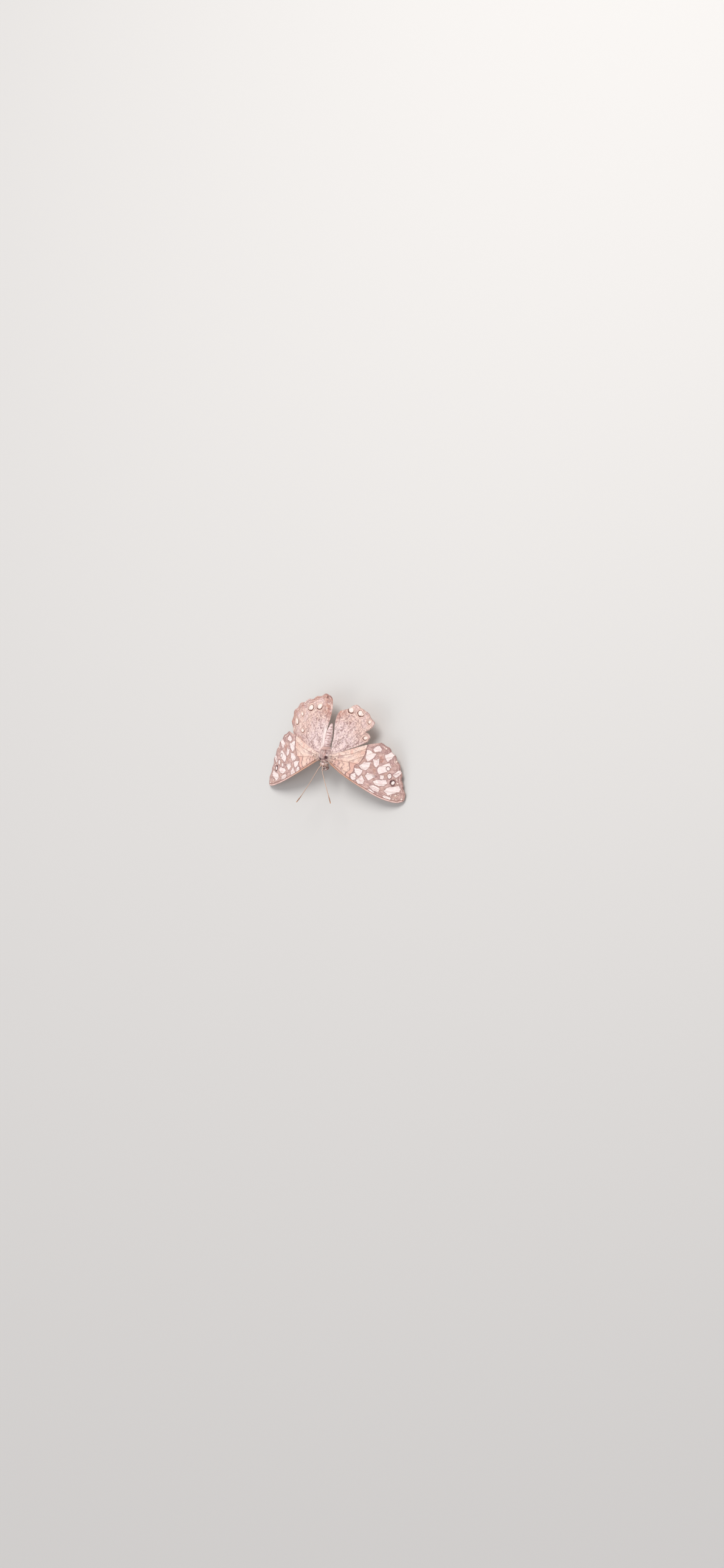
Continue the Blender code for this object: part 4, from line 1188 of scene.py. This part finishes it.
def legShape(kind, word, side):
    knots = mirrored(legs[kind], side)
    walking = kind != "fore"

    def swell(share):
        # thick thigh, slim shin, and a foot of five short joints
        wave = np.sin(math.pi * (share - 0.68) / 0.32 * legs["footJoints"] * 2 - 1)
        beads = 1 + 0.14 * wave * smooth(0.66, 0.7, share) * walking
        return beads * (1 - 0.14 * np.exp(-((share - 0.34) / 0.012) ** 2))

    points, faces, share = tube(knots, 110 if walking else 40, 14, swell)
    points[:, 2] = np.maximum(points[:, 2], legs["floor"])
    paint = painted(
        legs["shade"],
        (0.6 * smooth(0.5, 0.9, np.sin(share * 60)) * smooth(0.6, 0.7, share), legs["band"]),
        (0.5 * blots(share * 20, points[:, 2], 0.8, 96, 0.5, 0.8), legs["band"]))
    if walking:
        line = divide(smoothLine(knots, 8), legs["steps"])
        ahead = unit(line[-1, :3] - line[-8, :3])
        across = unit(np.cross(ahead, [0.0, 0.0, 1.0]))
        for turn in (-1, 1):  # a pair of hooked claws
            path = [(*(line[-1, :3] + forth * ahead + turn * out * across + (0, 0, rise)), thick)
                    for forth, out, rise, thick in legs["claw"]]
            claw, clawFaces, _ = tube(path, 14, 8)
            faces = np.vstack([faces, clawFaces + len(points)])
            points = np.vstack([points, np.maximum(claw, (-99, -99, legs["floor"]))])
            paint = np.vstack([paint, np.tile(legs["horn"], (len(claw), 1))])
    piece = meshPiece(f"{kind}leg_skin_{word}", points, faces, "leg scales", paint)
    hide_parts(f"{kind}leg_{word}")


def legTufts(kind, word, side):
    # short scales all along a leg, and longer spines on its shin and foot
    walking = kind != "fore"
    steps, count = legs["steps"], legs["tufts"][kind]
    rng = np.random.default_rng(500 + side + 7 * len(kind))
    pick, turn = rng.integers(4, steps - 3, count), rng.uniform(0, fullTurn, count)
    line = divide(smoothLine(mirrored(legs[kind], side), 8), steps)
    roots, ahead, up = roundPath(line, pick, turn, (3, 3), (0.3, 0.2, 1.0), 0.97)
    shin = (pick > 70) & (pick < 190) & (rng.random(count) < 0.1) & walking
    lengths = np.where(shin, 0.34, 0.2) * rng.uniform(0.8, 1.2, count) * (1 if walking else 1.7)
    tilt = np.where(shin, 1.1, 0.22)[:, None]
    coat = hairs(roots, ahead + tilt * up, up, lengths, np.where(shin, 0.05, 0.065), 0.1)
    coat[0][:, 2] = np.maximum(coat[0][:, 2], legs["floor"])
    colours = painted(legs["shade"], (np.where(shin, 0.9, 0.4 * rng.random(count)), legs["band"]))
    piece = coatPiece(f"{kind}leg_coat_{word}", coat, "leg scales", colours, flatRound(pick / steps, turn))


for word, side in (("left", 1), ("right", -1)):
    for kind in ("fore", "mid", "hind"):
        legShape(kind, word, side)
        legTufts(kind, word, side)
print("legs ready")


# Camera, floor and light

studio = {
    "tilt": 40,  # degrees that the camera leans to the butterfly's left of straight down
    "right": (0.9919, 0.1271),  # the picture's sideways axis, as shares of the sloped axis and the body's
    "distance": 3000,
    "frameHeight": 631,  # millimetres of the subject's plane that the frame spans
    "sensor": 36,
    "centre": (15.68, -8.94),  # the frame's centre from the body's middle, to the right and up
    "bodyMiddle": 11.4,
    "key": ((0.15, 0.55, 0.75), 0.5, 6.4),  # place, size and power
    "fill": ((-0.6, -0.5, 0.7), 0.8, 1.6),
    "world": 0.6,
    "floorSize": 4,  # from its middle to each side
}


def makeCamera():
    lean = math.radians(studio["tilt"])
    back = Vector((math.sin(lean), 0, math.cos(lean)))
    slope, along = Vector((math.cos(lean), 0, -math.sin(lean))), Vector((0, 1, 0))
    a, b = studio["right"]
    right, up = a * slope + b * along, a * along - b * slope
    target = Vector((0, slide, studio["bodyMiddle"])) + studio["centre"][0] * right + studio["centre"][1] * up
    camera = bpy.data.objects.new("camera", bpy.data.cameras.new("camera"))
    camera.data.sensor_width = studio["sensor"]
    camera.data.lens = studio["sensor"] * studio["distance"] / studio["frameHeight"]
    camera.data.clip_start, camera.data.clip_end = 0.05, 60
    turn = Matrix((right.normalized(), up.normalized(), back)).transposed()
    camera.matrix_world = Matrix.Translation((target + studio["distance"] * back) * 0.001) @ turn.to_4x4()
    bpy.context.scene.collection.objects.link(camera)
    bpy.context.scene.camera = camera


def areaLight(name):
    spot, size, power = studio[name]
    lamp = bpy.data.lights.new(name, "AREA")
    lamp.shape, lamp.size, lamp.energy = "DISK", size, power
    piece = bpy.data.objects.new(name, lamp)
    piece.location = spot
    piece.rotation_mode = "QUATERNION"
    piece.rotation_quaternion = Vector(spot).to_track_quat("Z", "Y")
    bpy.context.scene.collection.objects.link(piece)


def makeFloor():
    made = bpy.data.materials.new("floor")
    made.use_nodes = True
    nodes, links = made.node_tree.nodes, made.node_tree.links
    noise = addNode(nodes, "TexNoise", Scale=9)
    ramp = addNode(nodes, "ValToRGB")
    ramp.color_ramp.elements[0].color = (0.62, 0.6, 0.57, 1)
    ramp.color_ramp.elements[1].color = (0.68, 0.66, 0.63, 1)
    links.new(noise.outputs["Fac"], ramp.inputs["Fac"])
    links.new(ramp.outputs["Color"], nodes["Principled BSDF"].inputs["Base Color"])
    nodes["Principled BSDF"].inputs["Roughness"].default_value = 0.9
    mesh = bpy.data.meshes.new("floor")
    far = studio["floorSize"]
    mesh.from_pydata([(-far, -far, 0), (far, -far, 0), (far, far, 0), (-far, far, 0)], [], [(0, 1, 2, 3)])
    mesh.materials.append(made)
    floor = bpy.data.objects.new("floor", mesh)
    bpy.context.scene.collection.objects.link(floor)


makeCamera()
makeFloor()
areaLight("key")
areaLight("fill")
world = bpy.data.worlds.new("studio")
world.use_nodes = True
world.node_tree.nodes["Background"].inputs["Color"].default_value = (0.95, 0.95, 1.0, 1)
world.node_tree.nodes["Background"].inputs["Strength"].default_value = studio["world"]
bpy.context.scene.world = world
bpy.context.scene.view_settings.view_transform = "Standard"
print("studio ready")
